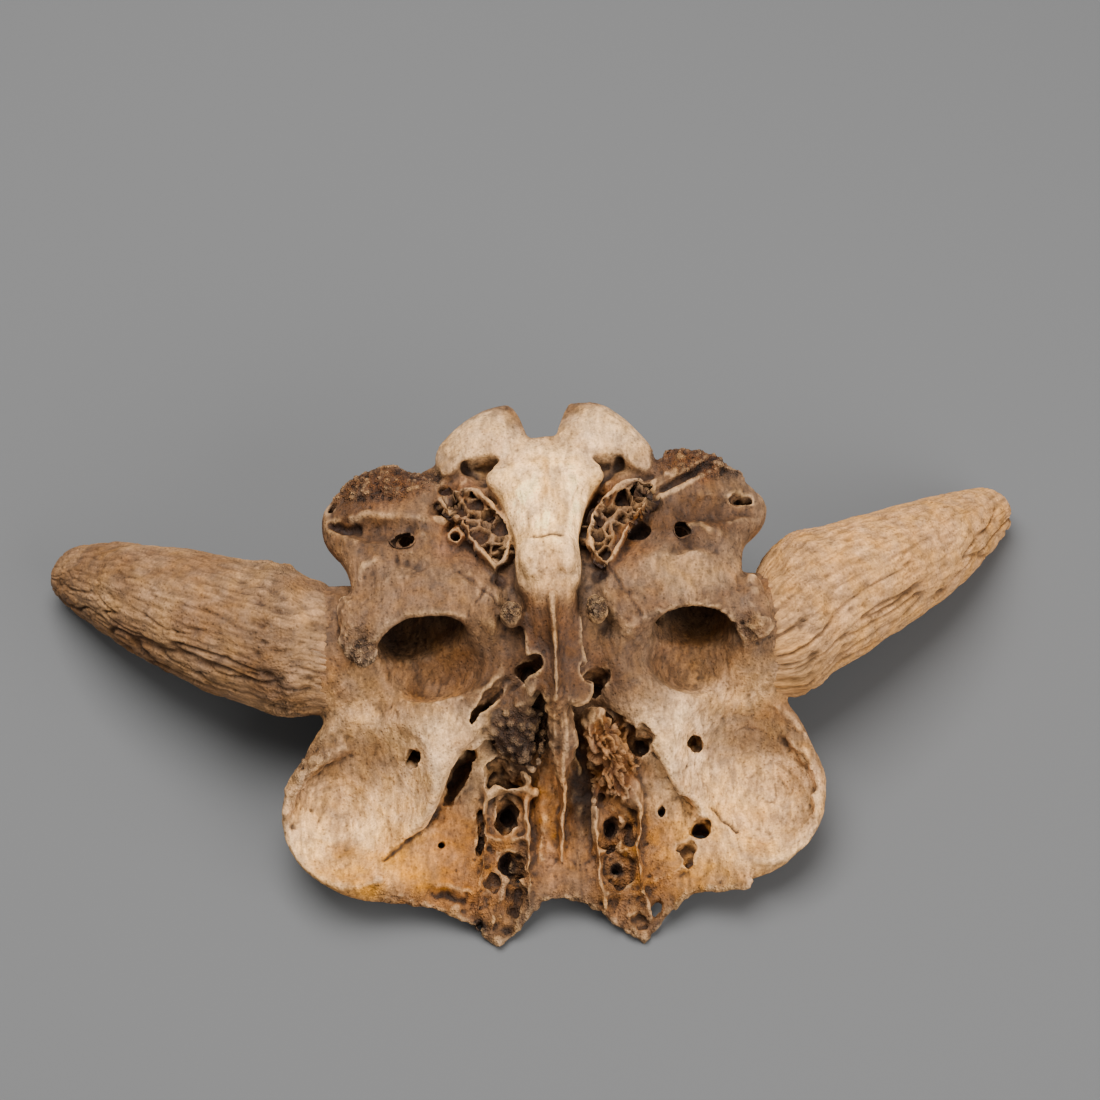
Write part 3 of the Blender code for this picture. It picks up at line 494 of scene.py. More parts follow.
def combine(piece, build, operation, ragged=0, smooth=1, voxel=FINE):
    """Joins or cuts a group of forms, whose skin is first made uneven by so many mm."""
    group = mesh_object(build.__name__, build)
    fuse(group, 1, voxel)
    apply_modifiers(group)
    if ragged:
        points = grid_points(group.data.vertices, "co")
        stir = np.stack([layered(points / MM, 6.5, 2, seed) for seed in (201, 211, 221)], axis=1)
        group.data.vertices.foreach_set("co", (points + ragged * MM * stir).ravel())
    boolean = piece.modifiers.new(build.__name__, "BOOLEAN")
    boolean.operation = operation
    boolean.solver = "MANIFOLD"
    boolean.object = group
    fuse(piece, smooth, voxel)
    apply_modifiers(piece)
    bpy.data.objects.remove(group, do_unlink=True)


def cell_values(cells, seed):
    """A repeatable random value from 0 to 1 for each cell of a grid."""
    x, y, z = (cells[..., axis].astype(np.int64).astype(np.uint32) for axis in range(3))
    mixed = x * np.uint32(0x9E3779B1) + y * np.uint32(0x85EBCA77) + z * np.uint32(0xC2B2AE3D)
    mixed = mixed + np.uint32(seed * 7919 + 17)
    for shift, factor in ((16, 0x7FEB352D), (15, 0x846CA68B)):
        mixed = (mixed ^ (mixed >> np.uint32(shift))) * np.uint32(factor)
    return (mixed ^ (mixed >> np.uint32(16))) / 2**32


def noise(points, size, seed):
    """Smooth noise from -1 to 1 whose lumps are as wide as the given size."""
    scaled = points / size
    low = np.floor(scaled)
    part = scaled - low
    part = part**3 * (part * (part * 6 - 15) + 10)
    total = 0
    for corner in np.ndindex(2, 2, 2):
        weight = np.prod(np.where(corner, part, 1 - part), axis=-1)
        total = total + weight * cell_values(low + corner, seed)
    return 2 * total - 1


def noises(points, size, seeds):
    """Noise in as many directions as there are seeds."""
    return np.stack([noise(points, size, seed) for seed in seeds], axis=1)


def layered(points, size, layers, seed):
    """Noise with finer and finer detail."""
    total, weight = 0, 0
    for layer in range(layers):
        share = 0.55**layer
        total = total + share * noise(points, size / 2**layer, seed + layer)
        weight += share
    return total / weight


def pores(points, size, seed):
    """How far the nearest and the second of scattered points are, and a random value of the nearest.

    The distances are shares of the size, which is about how far the points lie from each other.
    """
    scaled = points / size
    low = np.floor(scaled)
    nearest = np.full(len(points), 9.0)
    second = nearest.copy()
    value = np.zeros(len(points))
    for step in np.ndindex(3, 3, 3):
        cell = low + step - 1
        spot = np.stack([cell_values(cell, seed + k) for k in range(3)], axis=-1)
        away = np.linalg.norm(cell + spot - scaled, axis=-1)
        closer = away < nearest
        second = np.minimum(second, np.where(closer, nearest, away))
        nearest = np.where(closer, away, nearest)
        value = np.where(closer, cell_values(cell, seed + 3), value)
    return nearest, second, value


def ramp(values, low, high):
    """0 up to low, 1 from high on, and smooth between them."""
    t = np.clip((values - low) / (high - low), 0, 1)
    return t * t * (3 - 2 * t)


def blob(points, at, size, soft=0.5):
    """1 inside an egg, falling to 0 outside it."""
    away = np.linalg.norm((points - at) / size, axis=-1)
    return 1 - ramp(away, 1 - soft, 1 + soft)


def near_line(points, line, flat=0.4):
    """How far each point is from a line of points, with height counting for less."""
    squash = np.array((1, 1, flat))
    flat_points = points * squash
    best = np.full(len(points), 1e3)
    for a, b in zip(line, line[1:]):
        a, b = np.array(a) * squash, np.array(b) * squash
        along = b - a
        share = np.clip((flat_points - a) @ along / (along @ along), 0, 1)
        best = np.minimum(best, np.linalg.norm(flat_points - a - share[:, None] * along, axis=-1))
    return best


def scatter(outline, spacing, seed, count=400):
    """Random points inside an outline seen from below, each at least the spacing from the others."""
    chance = random.Random(seed)
    xs, ys = [p[0] for p in outline], [p[1] for p in outline]
    kept = []
    for _ in range(count):
        x, y = chance.uniform(min(xs), max(xs)), chance.uniform(min(ys), max(ys))
        within = False
        for (ax, ay, *_), (bx, by, *_) in zip(outline, (*outline[1:], outline[0])):
            if (ay > y) != (by > y) and x < (bx - ax) * (y - ay) / (by - ay) + ax:
                within = not within
        if within and all(math.hypot(x - px, y - py) > spacing for px, py in kept):
            kept.append((x, y))
    return kept


def masses(bm):
    """The big forms: braincase, brow, horn cores, roots of the cheek arches, blocks round the eyes."""
    ball(bm, (1, 5, 38), (62, 82, 60))
    ball(bm, (0, -25, 14), (118, 100, 36))
    ball(bm, (-2, -100, 11), (122, 72, 25))
    ball(bm, (0, 32, 22), (98, 38, 48))
    limb(bm, [*HORN_LEFT[:3], (-150, -10, 45, 35, 31)], sides=28)
    limb(bm, [*HORN_RIGHT[:3], (150, -14, 45, 35, 31)], sides=28)
    plate(bm, CHEEK_LEFT, (-78, 14, 103), 14)
    plate(bm, CHEEK_RIGHT, (80, 12, 103), 14)
    for side in (LEFT, RIGHT):
        for stations in (
            [(45, 58, 72, 22, 22), (85, 62, 76, 14, 20), (120, 52, 80, 8, 8)],
            [(100, 60, 78, 14, 12), (88, 45, 40, 20, 20), (85, 38, 10, 26, 24)],
            [(45, -38, 64, 28, 22), (75, -80, 40, 38, 22), (108, -98, 24, 38, 20)],
            [(112, -58, 30, 20, 22), (130, -80, 26, 20, 18), (146, -108, 22, 14, 14)],
        ):
            limb(bm, [(side * x, *rest) for x, *rest in stations])
        ball(bm, (side * 119 - 3, -112, 20), (43, 48, 23))
        edge = [(side * 147 - 2, -116, 20, 13, 11), (side * 124 - 2, -142, 13, 18, 10)]
        limb(bm, [*edge, (side * 84, -148, 4, 20, 9)])


def hollows(bm):
    """What is deep: temple pits, eye sockets, open brow cavities, the roof of the nose, the neck opening."""
    limbs(
        bm,
        [(2, 135, 80, 19, 16), (2, 100, 80, 19, 16), (0, 60, 70, 22, 20), (0, 20, 60, 32, 26)],
        [(4, 130, 112, 15, 16), (4, 92, 106, 11, 12)],
    )
    ball(bm, (-72, -45, 86), (34, 22, 40))
    limb(bm, [(-73, -43, 92, 28, 17), (-78, -26, 74, 27, 17), (-85, -6, 62, 20, 16), (-90, 8, 56, 13, 12)])
    ball(bm, (83, -49, 86), (29, 22, 40))
    limb(bm, [(83, -47, 92, 25, 17), (85, -28, 74, 24, 17), (88, -8, 62, 18, 16), (92, 6, 56, 13, 12)])
    ball(bm, (-100, -16, 78), (24, 26, 5), (0, -4, 0))
    ball(bm, (105, -18, 78), (24, 26, 5), (0, 4, 0))
    ball(bm, (-126, -124, 88), (62, 72, 76))
    ball(bm, (120, -124, 88), (62, 72, 76))
    ball(bm, (-128, -110, 52), (35, 33, 42), (-6, 10, 0))
    ball(bm, (122, -109, 52), (33, 32, 42), (-6, -10, 0))
    ball(bm, (-62, -50, 104), (44, 26, 38))
    ball(bm, (72, -54, 106), (40, 26, 38))
    limbs(
        bm,
        [(-110, 2, 99, 4, 5), (-96, 16, 101, 5, 5), (-82, 14, 102, 4, 5), (-72, 8, 104, 3, 4)],
        [(74, 8, 103, 3, 5), (88, 14, 102, 5, 5), (104, 8, 100, 4, 5)],
        [(-122, 44, 90, 4, 5), (-102, 38, 97, 8, 5), (-76, 36, 102, 7, 4)],
        [(126, 40, 90, 4, 5), (106, 38, 97, 8, 5), (80, 38, 102, 7, 4)],
    )
    plate(bm, SINUS_FLOOR, (0, -126, 11), -120)
    limbs(
        bm,
        [(-14, -64, 66, 8, 8), (-38, -82, 52, 8, 8), (-56, -100, 38, 9, 8), (-70, -120, 24, 8, 6)],
        [(16, -68, 60, 8, 8), (40, -86, 50, 8, 8), (56, -104, 38, 8, 8), (74, -126, 22, 7, 6)],
    )
    for side in (LEFT, RIGHT):
        limbs(
            bm,
            [(side * 56, 44, 112, 7, 12), (side * 43, 30, 108, 12, 14), (side * 29, 8, 106, 5, 12)],
            [(side * 30, 62, 112, 5, 9), (side * 27, 44, 110, 4, 9), (side * 26, 16, 106, 4, 12)],
            [(side * 24, -34, 98, 4, 6), (side * 36, -50, 88, 4, 6)],
        )
    limbs(
        bm,
        [(-64, 60, 100, 5, 4), (-50, 63, 101, 7, 6), (-36, 66, 104, 7, 6), (-24, 66, 108, 5, 5)],
        [(70, 56, 100, 5, 4), (56, 58, 101, 7, 6), (44, 62, 104, 7, 6), (32, 63, 108, 5, 5)],
    )


def skull_base(bm):
    """The pale bar along the middle, the two knobs of the neck joint, and the keel in front of them."""
    plate(bm, MIDDLE_BAR, (1, 30, 122), 28)
    plate(bm, KNOB_LEFT, (-34, 90, 114), 24)
    plate(bm, KNOB_RIGHT, (42, 90, 114), 24)
    ball(bm, (-10, 2, 113), (7, 14, 8))
    ball(bm, (11, 4, 113), (7, 13, 8))
    ball(bm, (-27, 60, 108), (6, 7, 7))
    ball(bm, (32, 60, 108), (6, 7, 7))
    limb(bm, [(1, -14, 98, 16, 14), (1, -36, 84, 16, 14), (0, -52, 68, 16, 14)])
    plate(bm, KEEL_TOP, (1, -48, 93), 5)
    limb(bm, [(1, -20, 107, 3.5, 8), (1, -52, 97, 1.6, 8), (0, -76, 84, 1.4, 6)])
    ball(bm, (-23, -27, 100), (7, 8, 10))
    ball(bm, (27, -27, 100), (7, 9, 10))


def brow_cavities(bm):
    """The broken front of the brow: its floor, the walls between its cells, and the scrolls of the nose."""
    plate(bm, FRONT_LEFT, (-58, -140, 7), 5.5)
    plate(bm, FRONT_RIGHT, (52, -142, 7), 5.5)
    limbs(
        bm,
        [(-32, -104, 16, 12, 9), (-32, -130, 8, 12, 9), (-36, -160, -1, 13, 8), (-40, -177, -2, 8, 6)],
        [(32, -112, 13, 12, 9), (32, -135, 7, 12, 9), (34, -160, -2, 14, 8), (43, -178, -3, 8, 6)],
        [(-8, -92, 23, 8, 8), (-7, -118, 13, 9, 8), (-6, -140, 4, 8, 7)],
        [(10, -86, 22, 7, 8), (11, -112, 11, 8, 8), (9, -140, 3, 8, 7)],
        [
            (1, -76, 76, 7, 8), (3, -90, 60, 8, 9), (2, -104, 42, 3, 10), (1, -124, 22, 1.3, 10),
            (-1, -145, 6, 1.3, 7),
        ],
        [(-21, -74, 58, 11, 9), (-22, -86, 48, 12, 8)],
        [(26, -80, 44, 10, 8), (30, -98, 32, 11, 5), (36, -112, 22, 8, 4)],
        [(-10, -61, 76, 6, 4), (-23, -68, 66, 7, 4), (-38, -77, 58, 6, 3), (-51, -87, 50, 3, 3)],
        [(-41, -109, 29, 3, 5), (-30, -104, 31, 4, 5), (-17, -109, 27, 3, 5)],
    )
    for wall in CELL_WALLS:
        limb(bm, [(*point, 1.4, 8) for point in wall])
    chance = random.Random(5)
    for x, y in scatter([(-34, -72), (-8, -72), (-6, -94), (-16, -104), (-38, -96)], 4.2, 8):
        height = 62 - 0.9 * (-72 - y) + chance.uniform(-3, 3)
        size = chance.uniform(3, 5)
        ball(bm, (x, y, height), (size, size, size), level=2)
    limb(bm, [(22, -78, 58, 9, 8), (30, -92, 44, 13, 10), (36, -106, 31, 12, 8), (44, -116, 24, 5, 5)])
    for end in ((45, -88, 46), (58, -91, 48), (43, -104, 40), (57, -104, 42)):
        limb(bm, [(51, -97, 42, 1.5), (*end, 1.2)])


def rims(bm):
    """Thin and knobbly edges: stumps of the cheek arches, ear pockets, the strip over each eye."""
    limbs(
        bm,
        [(-117, -6, 86, 8, 7), (-114, -26, 85, 11, 7), (-109, -41, 83, 8, 5)],
        [(118, -10, 88, 8, 8), (120, -28, 88, 9, 9), (121, -37, 88, 10, 9)],
        [(-64, 66, 84, 18, 14), (-44, 66, 86, 18, 12), (-20, 70, 84, 18, 12)],
        [(68, 64, 84, 18, 14), (50, 64, 86, 18, 12), (24, 70, 84, 18, 12)],
        [(-126, -72, 34, 7, 5), (-142, -82, 34, 6, 5), (-155, -96, 32, 5, 5), (-161, -112, 27, 3, 5)],
        [(136, -78, 27, 6, 6), (147, -92, 27, 5, 6), (153, -110, 25, 4, 5), (150, -132, 22, 3, 4)],
        [(-36, 58, 96, 5, 6), (-50, 66, 96, 6, 6), (-60, 64, 97, 4, 5)],
        [(40, 56, 96, 5, 6), (54, 64, 96, 6, 6), (66, 66, 97, 4, 5)],
    )
    plate(bm, MASTOID_LEFT, (-92, 66, 103), 9)
    plate(bm, MASTOID_RIGHT, (95, 70, 103), 9)
    for wall in (
        [(-59, 54, 99), (-42, 57, 100), (-30, 46, 100), (-23, 32, 100), (-23, 15, 99), (-30, 6, 97)],
        [(-60, 51, 100), (-52, 39, 102), (-45, 27, 102), (-38, 14, 101), (-31, 3, 98)],
        [(65, 57, 99), (47, 54, 100), (34, 42, 100), (27, 26, 100), (28, 10, 99), (34, 4, 97)],
        [(67, 56, 99), (60, 39, 101), (50, 26, 101), (43, 14, 100), (36, 3, 97)],
        [(-112, 59, 90), (-91, 53, 92), (-72, 47, 94), (-58, 38, 96)],
        [(72, 48, 95), (90, 60, 94), (108, 70, 92)],
    ):
        limb(bm, [(*point, 1.8, 6) for point in wall])
    plate(bm, [(*point, 97) for point in BULLA_LEFT], (-40, 34, 102), 14)
    plate(bm, [(*point, 97) for point in BULLA_RIGHT], (46, 34, 102), 14)
    limb(bm, [(-53, 28, 90, 5.5), (-53, 28, 97, 5.5)])


def holes(bm):
    """Openings that go through or deep into the bone."""
    limbs(
        bm,
        [(-86, -92, 62, 5), (-84, -88, 40, 5), (-80, -78, 30, 5)],
        [(83, -92, 62, 6, 5), (81, -88, 40, 5), (78, -78, 30, 5)],
        [(-84, 27, 110, 6, 4), (-82, 30, 90, 5, 4)],
        [(82, 22, 110, 4), (81, 25, 90, 4)],
        [(-125, 57, 96, 3), (-125, 57, 84, 2.5)],
        [(120, 46, 98, 8, 3), (120, 46, 84, 7, 3)],
        [(-22, -51, 86, 3, 7), (-31, -60, 74, 3, 8), (-43, -70, 64, 3, 8), (-52, -80, 54, 3, 8)],
        [(-53, -86, 40, 5, 16), (-60, -96, 32, 6, 15), (-66, -108, 24, 4, 10)],
        [(11, -80, 58, 3.5, 14), (15, -100, 40, 3.5, 14), (15, -120, 24, 2.6, 9)],
        [(-10, -80, 58, 3, 12), (-13, -94, 42, 3, 10)],
        [(-46, -112, 22, 2, 8), (-48, -128, 14, 2, 8), (-48, -146, 8, 1.6, 6)],
        [(23, -62, 92, 8, 6), (24, -58, 70, 8, 7), (24, -56, 50, 6, 6)],
        [(50, -89, 62, 6, 5), (50, -88, 42, 6, 6), (50, -86, 30, 6, 6)],
        [(52, -100, 40, 4, 8), (58, -108, 32, 4, 7)],
        [(-12, -58, 96, 8, 5), (-14, -54, 80, 8, 6), (-14, -52, 66, 6, 6)],
    )
    for outline, depth in CELLS:
        pit(bm, outline, depth)
    for x, y, z, wide, deep in SMALL_HOLES:
        limb(bm, [(x, y, z + 6, wide), (x, y, z - deep, wide)])


def grid_points(vertices, name):
    """A value of each vertex, such as its place, as rows of three."""
    values = np.empty(len(vertices) * 3)
    vertices.foreach_get(name, values)
    return values.reshape(-1, 3)


def relaxed(points, edges, rounds):
    """The points after each has moved towards the middle of its neighbours so many times."""
    a, b = edges[:, 0], edges[:, 1]
    count = np.bincount(a, minlength=len(points)) + np.bincount(b, minlength=len(points))
    for _ in range(rounds):
        total = np.empty_like(points)
        for axis in range(3):
            total[:, axis] = np.bincount(a, points[b, axis], len(points))
            total[:, axis] += np.bincount(b, points[a, axis], len(points))
        points = total / np.maximum(count, 1)[:, None]
    return points


def horn_core(name, stations, side):
    """A horn core on its own, with a rough collar near the skull and fine grooves along it."""
    rows = spline([Vector(station) for station in stations[1:]], 60)
    rows = np.array([list(row) for row in rows])
    rows = rows[np.abs(rows[:, 0]) > HORN_START]
    gaps = np.linalg.norm(np.diff(rows[:, :3], axis=0), axis=1)
    reach = np.concatenate([[0], np.cumsum(gaps)])
    count = int(reach[-1] / HORN_STEP)
    places = np.linspace(0, reach[-1], count)
    rows = np.stack([np.interp(places, reach, rows[:, k]) for k in range(5)], axis=1)
    tip = np.radians(np.linspace(0, 88, TIP_RINGS + 1))[1:]
    end = rows[-1]
    along = np.gradient(rows[:, :3], axis=0)
    along /= np.linalg.norm(along, axis=1)[:, None]
    round_off = min(end[3], end[4])
    extra = np.repeat(end[None], len(tip), axis=0)
    extra[:, :3] += along[-1] * (np.sin(tip) * round_off)[:, None]
    extra[:, 3:] *= np.cos(tip)[:, None]
    rows = np.concatenate([rows, extra])
    along = np.concatenate([along, np.repeat(along[-1:], len(tip), axis=0)])
    places = np.concatenate([places, places[-1] + np.sin(tip) * round_off])
    across = np.cross(along, (0, 0, 1))
    across /= np.linalg.norm(across, axis=1)[:, None]
    upward = np.cross(across, along)
    turns = 2 * np.pi * np.arange(HORN_SIDES) / HORN_SIDES
    out = across[:, None] * np.cos(turns)[None, :, None] + upward[:, None] * np.sin(turns)[None, :, None]
    skin = across[:, None] * (rows[:, None, 3] * np.cos(turns))[..., None]
    skin = skin + upward[:, None] * (rows[:, None, 4] * np.sin(turns))[..., None]
    middle = np.repeat(rows[:, None, :3], HORN_SIDES, axis=1)
    points = (middle + skin).reshape(-1, 3)
    out = out.reshape(-1, 3)
    width = np.abs(points[:, 0])
    place = np.repeat(places, HORN_SIDES)
    size = np.linalg.norm(skin, axis=-1).reshape(-1)
    turn = np.tile(turns, len(rows))
    # Sampled along a straight tube, so that the grooves follow the bend of the core.
    tube = np.stack([place / 9, np.cos(turn) * size, np.sin(turn) * size], axis=1)
    tube[:, 1:] += 1.6 * noises(points, 22, (41, 42))
    broad = np.abs(noise(tube, 6.2 + 1.2 * side, 51 + side))
    narrow = np.abs(noise(tube, 2.6, 61 + side))
    strength = 0.7 + 0.3 * ramp(layered(points, 45, 2, 71 + side), -0.4, 0.4)
    low = ramp(-0.85 * out[:, 1] - 0.5 * out[:, 2], -0.4 - 0.2 * (side > 0), 0.5 - 0.3 * (side > 0))
    collar = blob(width[:, None], (156 - 4 * side,), (12,), 0.8)
    near = 1 - ramp(width, 170, 230)
    groove = (1 - ramp(broad, 0.02, 0.26)) * strength * (0.15 + low)
    thin = (1 - ramp(narrow, 0.02, 0.25)) * strength
    lumps = layered(points, 16, 3, 81 + side)
    knobs = layered(points, 7, 3, 91 + side)
    hole, *_ = pores(np.stack([place / 1.6, tube[:, 1], tube[:, 2]], axis=1), 7, 95 + side)
    pit = 1 - ramp(hole, 0.12, 0.34)
    change = 1.4 * lumps - 2.6 * groove - 0.8 * thin - 0.9 * pit * (0.4 + near)
    change += collar * (2.2 + 2.6 * knobs + 1.2 * near)
    change -= 8 * (1 - ramp(width, 116, 136))
    fade = 1 - ramp(place, places[-1] - 6, places[-1] + 8)
    change *= 0.35 + 0.65 * fade
    points = points + out * change[:, None]
    tone = mixed(TONE["horn"], TONE["horn_light"], ramp(layered(points, 34, 3, 33), -0.35, 0.45))
    tone = mixed(tone, TONE["horn_warm"], 0.7 * (side > 0))
    # painted shade: darker in the grooves and pits and on the side that faces down and forward
    painted_shade = np.clip(0.95 * groove + 0.5 * thin + 0.6 * pit * near + 0.12 * low, 0, 1)
    tone = mixed(tone, TONE["dirt_and_shade"], 0.8 * painted_shade)
    # painted shade in the dips between the knobs of the collar
    tone = mixed(tone, TONE["dirt_and_shade"], 0.4 * collar * ramp(-knobs, -0.1, 0.5))
    tone *= (1 + 0.14 * layered(points, 8, 3, 35))[:, None]
    faces = []
    for ring in range(len(rows) - 1):
        start, after = ring * HORN_SIDES, (ring + 1) * HORN_SIDES
        faces += [
            (start + k, start + (k + 1) % HORN_SIDES, after + (k + 1) % HORN_SIDES, after + k)
            for k in range(HORN_SIDES)
        ]
    faces.append(tuple(range(HORN_SIDES))[::-1])
    faces.append(tuple(range((len(rows) - 1) * HORN_SIDES, len(rows) * HORN_SIDES)))
    fibres = np.stack([np.cos(turn) * size, place, np.sin(turn) * size], axis=1)
    return painted(name, points, faces, tone, np.clip(0.3 * collar * near, 0, 1), fibres)


def mixed(a, b, share):
    """A share of colour b over colour a."""
    a, b = np.asarray(a, float), np.asarray(b, float)
    share = np.asarray(share, float)
    share = share[:, None] if share.ndim else share
    return a + (b - a) * share


def painted(name, points, faces, tone, grit, fibres):
    """A mesh object in the row's frame from points in the skull's frame.

    Each point has a colour, a share of grit, and a place in a texture whose fibres run along +Y.
    """
    mesh = bpy.data.meshes.new(name)
    to_ground = np.array(SKULL)
    world = points @ to_ground[:3, :3].T + to_ground[:3, 3]
    mesh.from_pydata(world.tolist(), [], faces)
    mesh.validate()
    layer = mesh.attributes.new("bone_tone", "FLOAT_COLOR", "POINT")
    colour = np.empty((len(points), 4))
    colour[:, :3] = np.clip(tone, 0.005, 0.95)
    colour[:, 3] = grit
    layer.data.foreach_set("color", colour.ravel())
    layer = mesh.attributes.new("fibre_place", "FLOAT_VECTOR", "POINT")
    layer.data.foreach_set("vector", (fibres * MM).ravel())
    mesh.shade_smooth()
    return placed(name, mesh)


def inside(points, outline):
    """True for each point that lies inside an outline seen from below."""
    found = np.zeros(len(points), bool)
    x, y = points[:, 0], points[:, 1]
    for (ax, ay, *_), (bx, by, *_) in zip(outline, (*outline[1:], outline[0])):
        crosses = ((ay > y) != (by > y)) & (x < (bx - ax) * (y - ay) / (by - ay + 1e-9) + ax)
        found ^= crosses
    return found


def finish_surface(points, normals):
    """Moves the surface in and out: pores, wrinkles, granular patches, cells, broken edges, cracks.

    Also tells how rough each point is, how far down in a cell or a crack, and its share of grit.
    """
    change = 0.5 * layered(points, 14, 3, 101)
    rough = np.zeros(len(points))
    for at, size in ROUGH_PATCHES:
        rough = np.maximum(rough, blob(points, at, size))
    rough = np.maximum(rough, 1 - ramp(near_line(points, FRONT_EDGE), 3, 12))
    smooth = blob(points, (0, 60, 112), (66, 66, 30), 0.3)
    change += rough * (1.3 * layered(points, 6, 2, 111) - 0.3)
    folds = points * (1, 0.45, 1) + 3 * noises(points, 18, (7, 8, 9))
    wrinkle = 1 - ramp(np.abs(layered(folds, 5, 2, 131)), 0.02, 0.3)
    patchy = ramp(noise(points, 30, 12), -0.3, 0.4)
    change -= 0.45 * wrinkle * (1 - 0.8 * smooth) * (0.4 + 0.6 * patchy)
    hole, _, value = pores(points, 6, 121)
    change -= (1 - ramp(hole, 0.1, 0.32)) * (value > 0.45) * (0.5 + 1.1 * rough)
    grain = np.zeros(len(points))
    for at, size in GRAIN_PATCHES:
        grain = np.maximum(grain, blob(points, at, size, 0.3))
    near, _, value = pores(points, 3.6, 141)
    change += grain * (0.5 - 1.3 * ramp(near, 0.1, 0.75) * (0.6 + 0.8 * value))
    near, *_ = pores(points, 6.5, 151)
    lump = blob(points, *SPONGE_AT, 0.3)
    change += lump * (1.6 - 3.4 * ramp(near, 0.15, 0.8))
    combs = np.zeros(len(points))
    flat = points * (1, 1, 0.02)
    near, after, value = pores(flat + 1.2 * noise(points, 8, 3)[:, None], 9.5, 161)
    for outline in (BULLA_LEFT, BULLA_RIGHT):
        combs = np.maximum(combs, inside(points, outline) & (points[:, 2] > 92))
    combs *= ramp(after - near, 0.06, 0.2)
    change -= combs * (4 + 6 * value)
    scroll = blob(points, *SCROLLS_AT, 0.3)
    slant = points @ np.array(((0.94, -0.2, 0), (0.34, 0.16, 0), (0, 0, 0.3)))
    fold = np.abs(layered(slant + 2.5 * noises(points, 9, (4, 5, 6)), 4.5, 2, 171))
    change -= scroll * 5.5 * ramp(fold, 0.04, 0.22)
    cracks = np.zeros(len(points))
    wavy = points + 1.4 * noise(points, 7, 5)[:, None]
    for height, wide, line in LINES:
        mark = 1 - ramp(near_line(wavy, line), 0, 1.5 * wide)
        change += height * mark
        cracks = np.maximum(cracks, mark * (height < 0) * (wide < 3))
    streaks = layered(points * (1, 0.12, 0.12), 2.6, 2, 181)
    vomer = blob(points, (3, -90, 58), (12, 34, 34), 0.4)
    change += vomer * 1.4 * streaks
    depth = 0.8 * combs + 0.35 * scroll * ramp(fold, 0.04, 0.22) + 0.35 * wrinkle + 0.7 * cracks
    grit = np.clip(grain + 0.5 * rough + 0.4 * lump, 0, 1)
    return points + normals * change[:, None], rough, np.clip(depth, 0, 1), grit


def bone_tones(points, hollow, wide, rough, depth):
    """The colour of the bone at each point: stains and painted shade in zones, dirt on rough patches,
    painted shade in hollows, cells and cracks, and pale worn edges.

    A point lies hollow mm below the surface round it, and that lies wide mm below the wider surface.
    """
    moved = points + 5 * noises(points, 16, (1, 2, 3))
    tone = mixed(TONE["tan"], TONE["grey"], ramp(layered(points, 50, 3, 9), -0.35, 0.4))
    for colour, at, size, strength in ZONES:
        tone = mixed(tone, TONE[colour], strength * blob(moved, at, size))
    # painted shade at the bottom of each small hole
    for x, y, z, across, deep in SMALL_HOLES:
        reach = (across + 3, across + 3, deep)
        tone = mixed(tone, TONE["painted_shade"], 0.9 * blob(points, (x, y, z - deep), reach, 0.2))
    streak = layered(points * (1, 0.35, 0.6), 9, 4, 23)
    for colour, share in (
        ("rust", 0.35 * ramp(layered(points, 26, 4, 17), 0.05, 0.6)),
        ("dirt_and_shade", 0.3 * rough * ramp(layered(points, 5, 2, 19), -0.2, 0.5)),
        # painted shade, browner where the surface lies below its wider surroundings
        ("brown", 0.6 * ramp(wide, 0.5, 3.2)),
        ("brown", 0.35 * ramp(streak, 0.05, 0.6)),
        # painted shade, darker in hollows and down in cells, wrinkles and cracks
        ("dirt_and_shade", 0.8 * ramp(hollow, 0.12, 1.1)),
        ("dirt_and_shade", 0.75 * depth),
        ("worn", 0.4 * ramp(-hollow, 0.25, 1.1)),
        ("brown", 0.5 * blob(points, *SPONGE_AT, 0.3)),
        ("brown", 0.45 * inside(points, BULLA_LEFT) * (points[:, 2] > 88)),
        ("brown", 0.45 * inside(points, BULLA_RIGHT) * (points[:, 2] > 88)),
        ("rust", 0.5 * blob(points, *SCROLLS_AT, 0.3)),
    ):
        tone = mixed(tone, TONE[colour], share)
    tone = tone * (1 + 0.12 * layered(points, 7, 3, 31))[:, None]
    return tone * (tone.mean(axis=1, keepdims=True) / CONTRAST_AT) ** CONTRAST


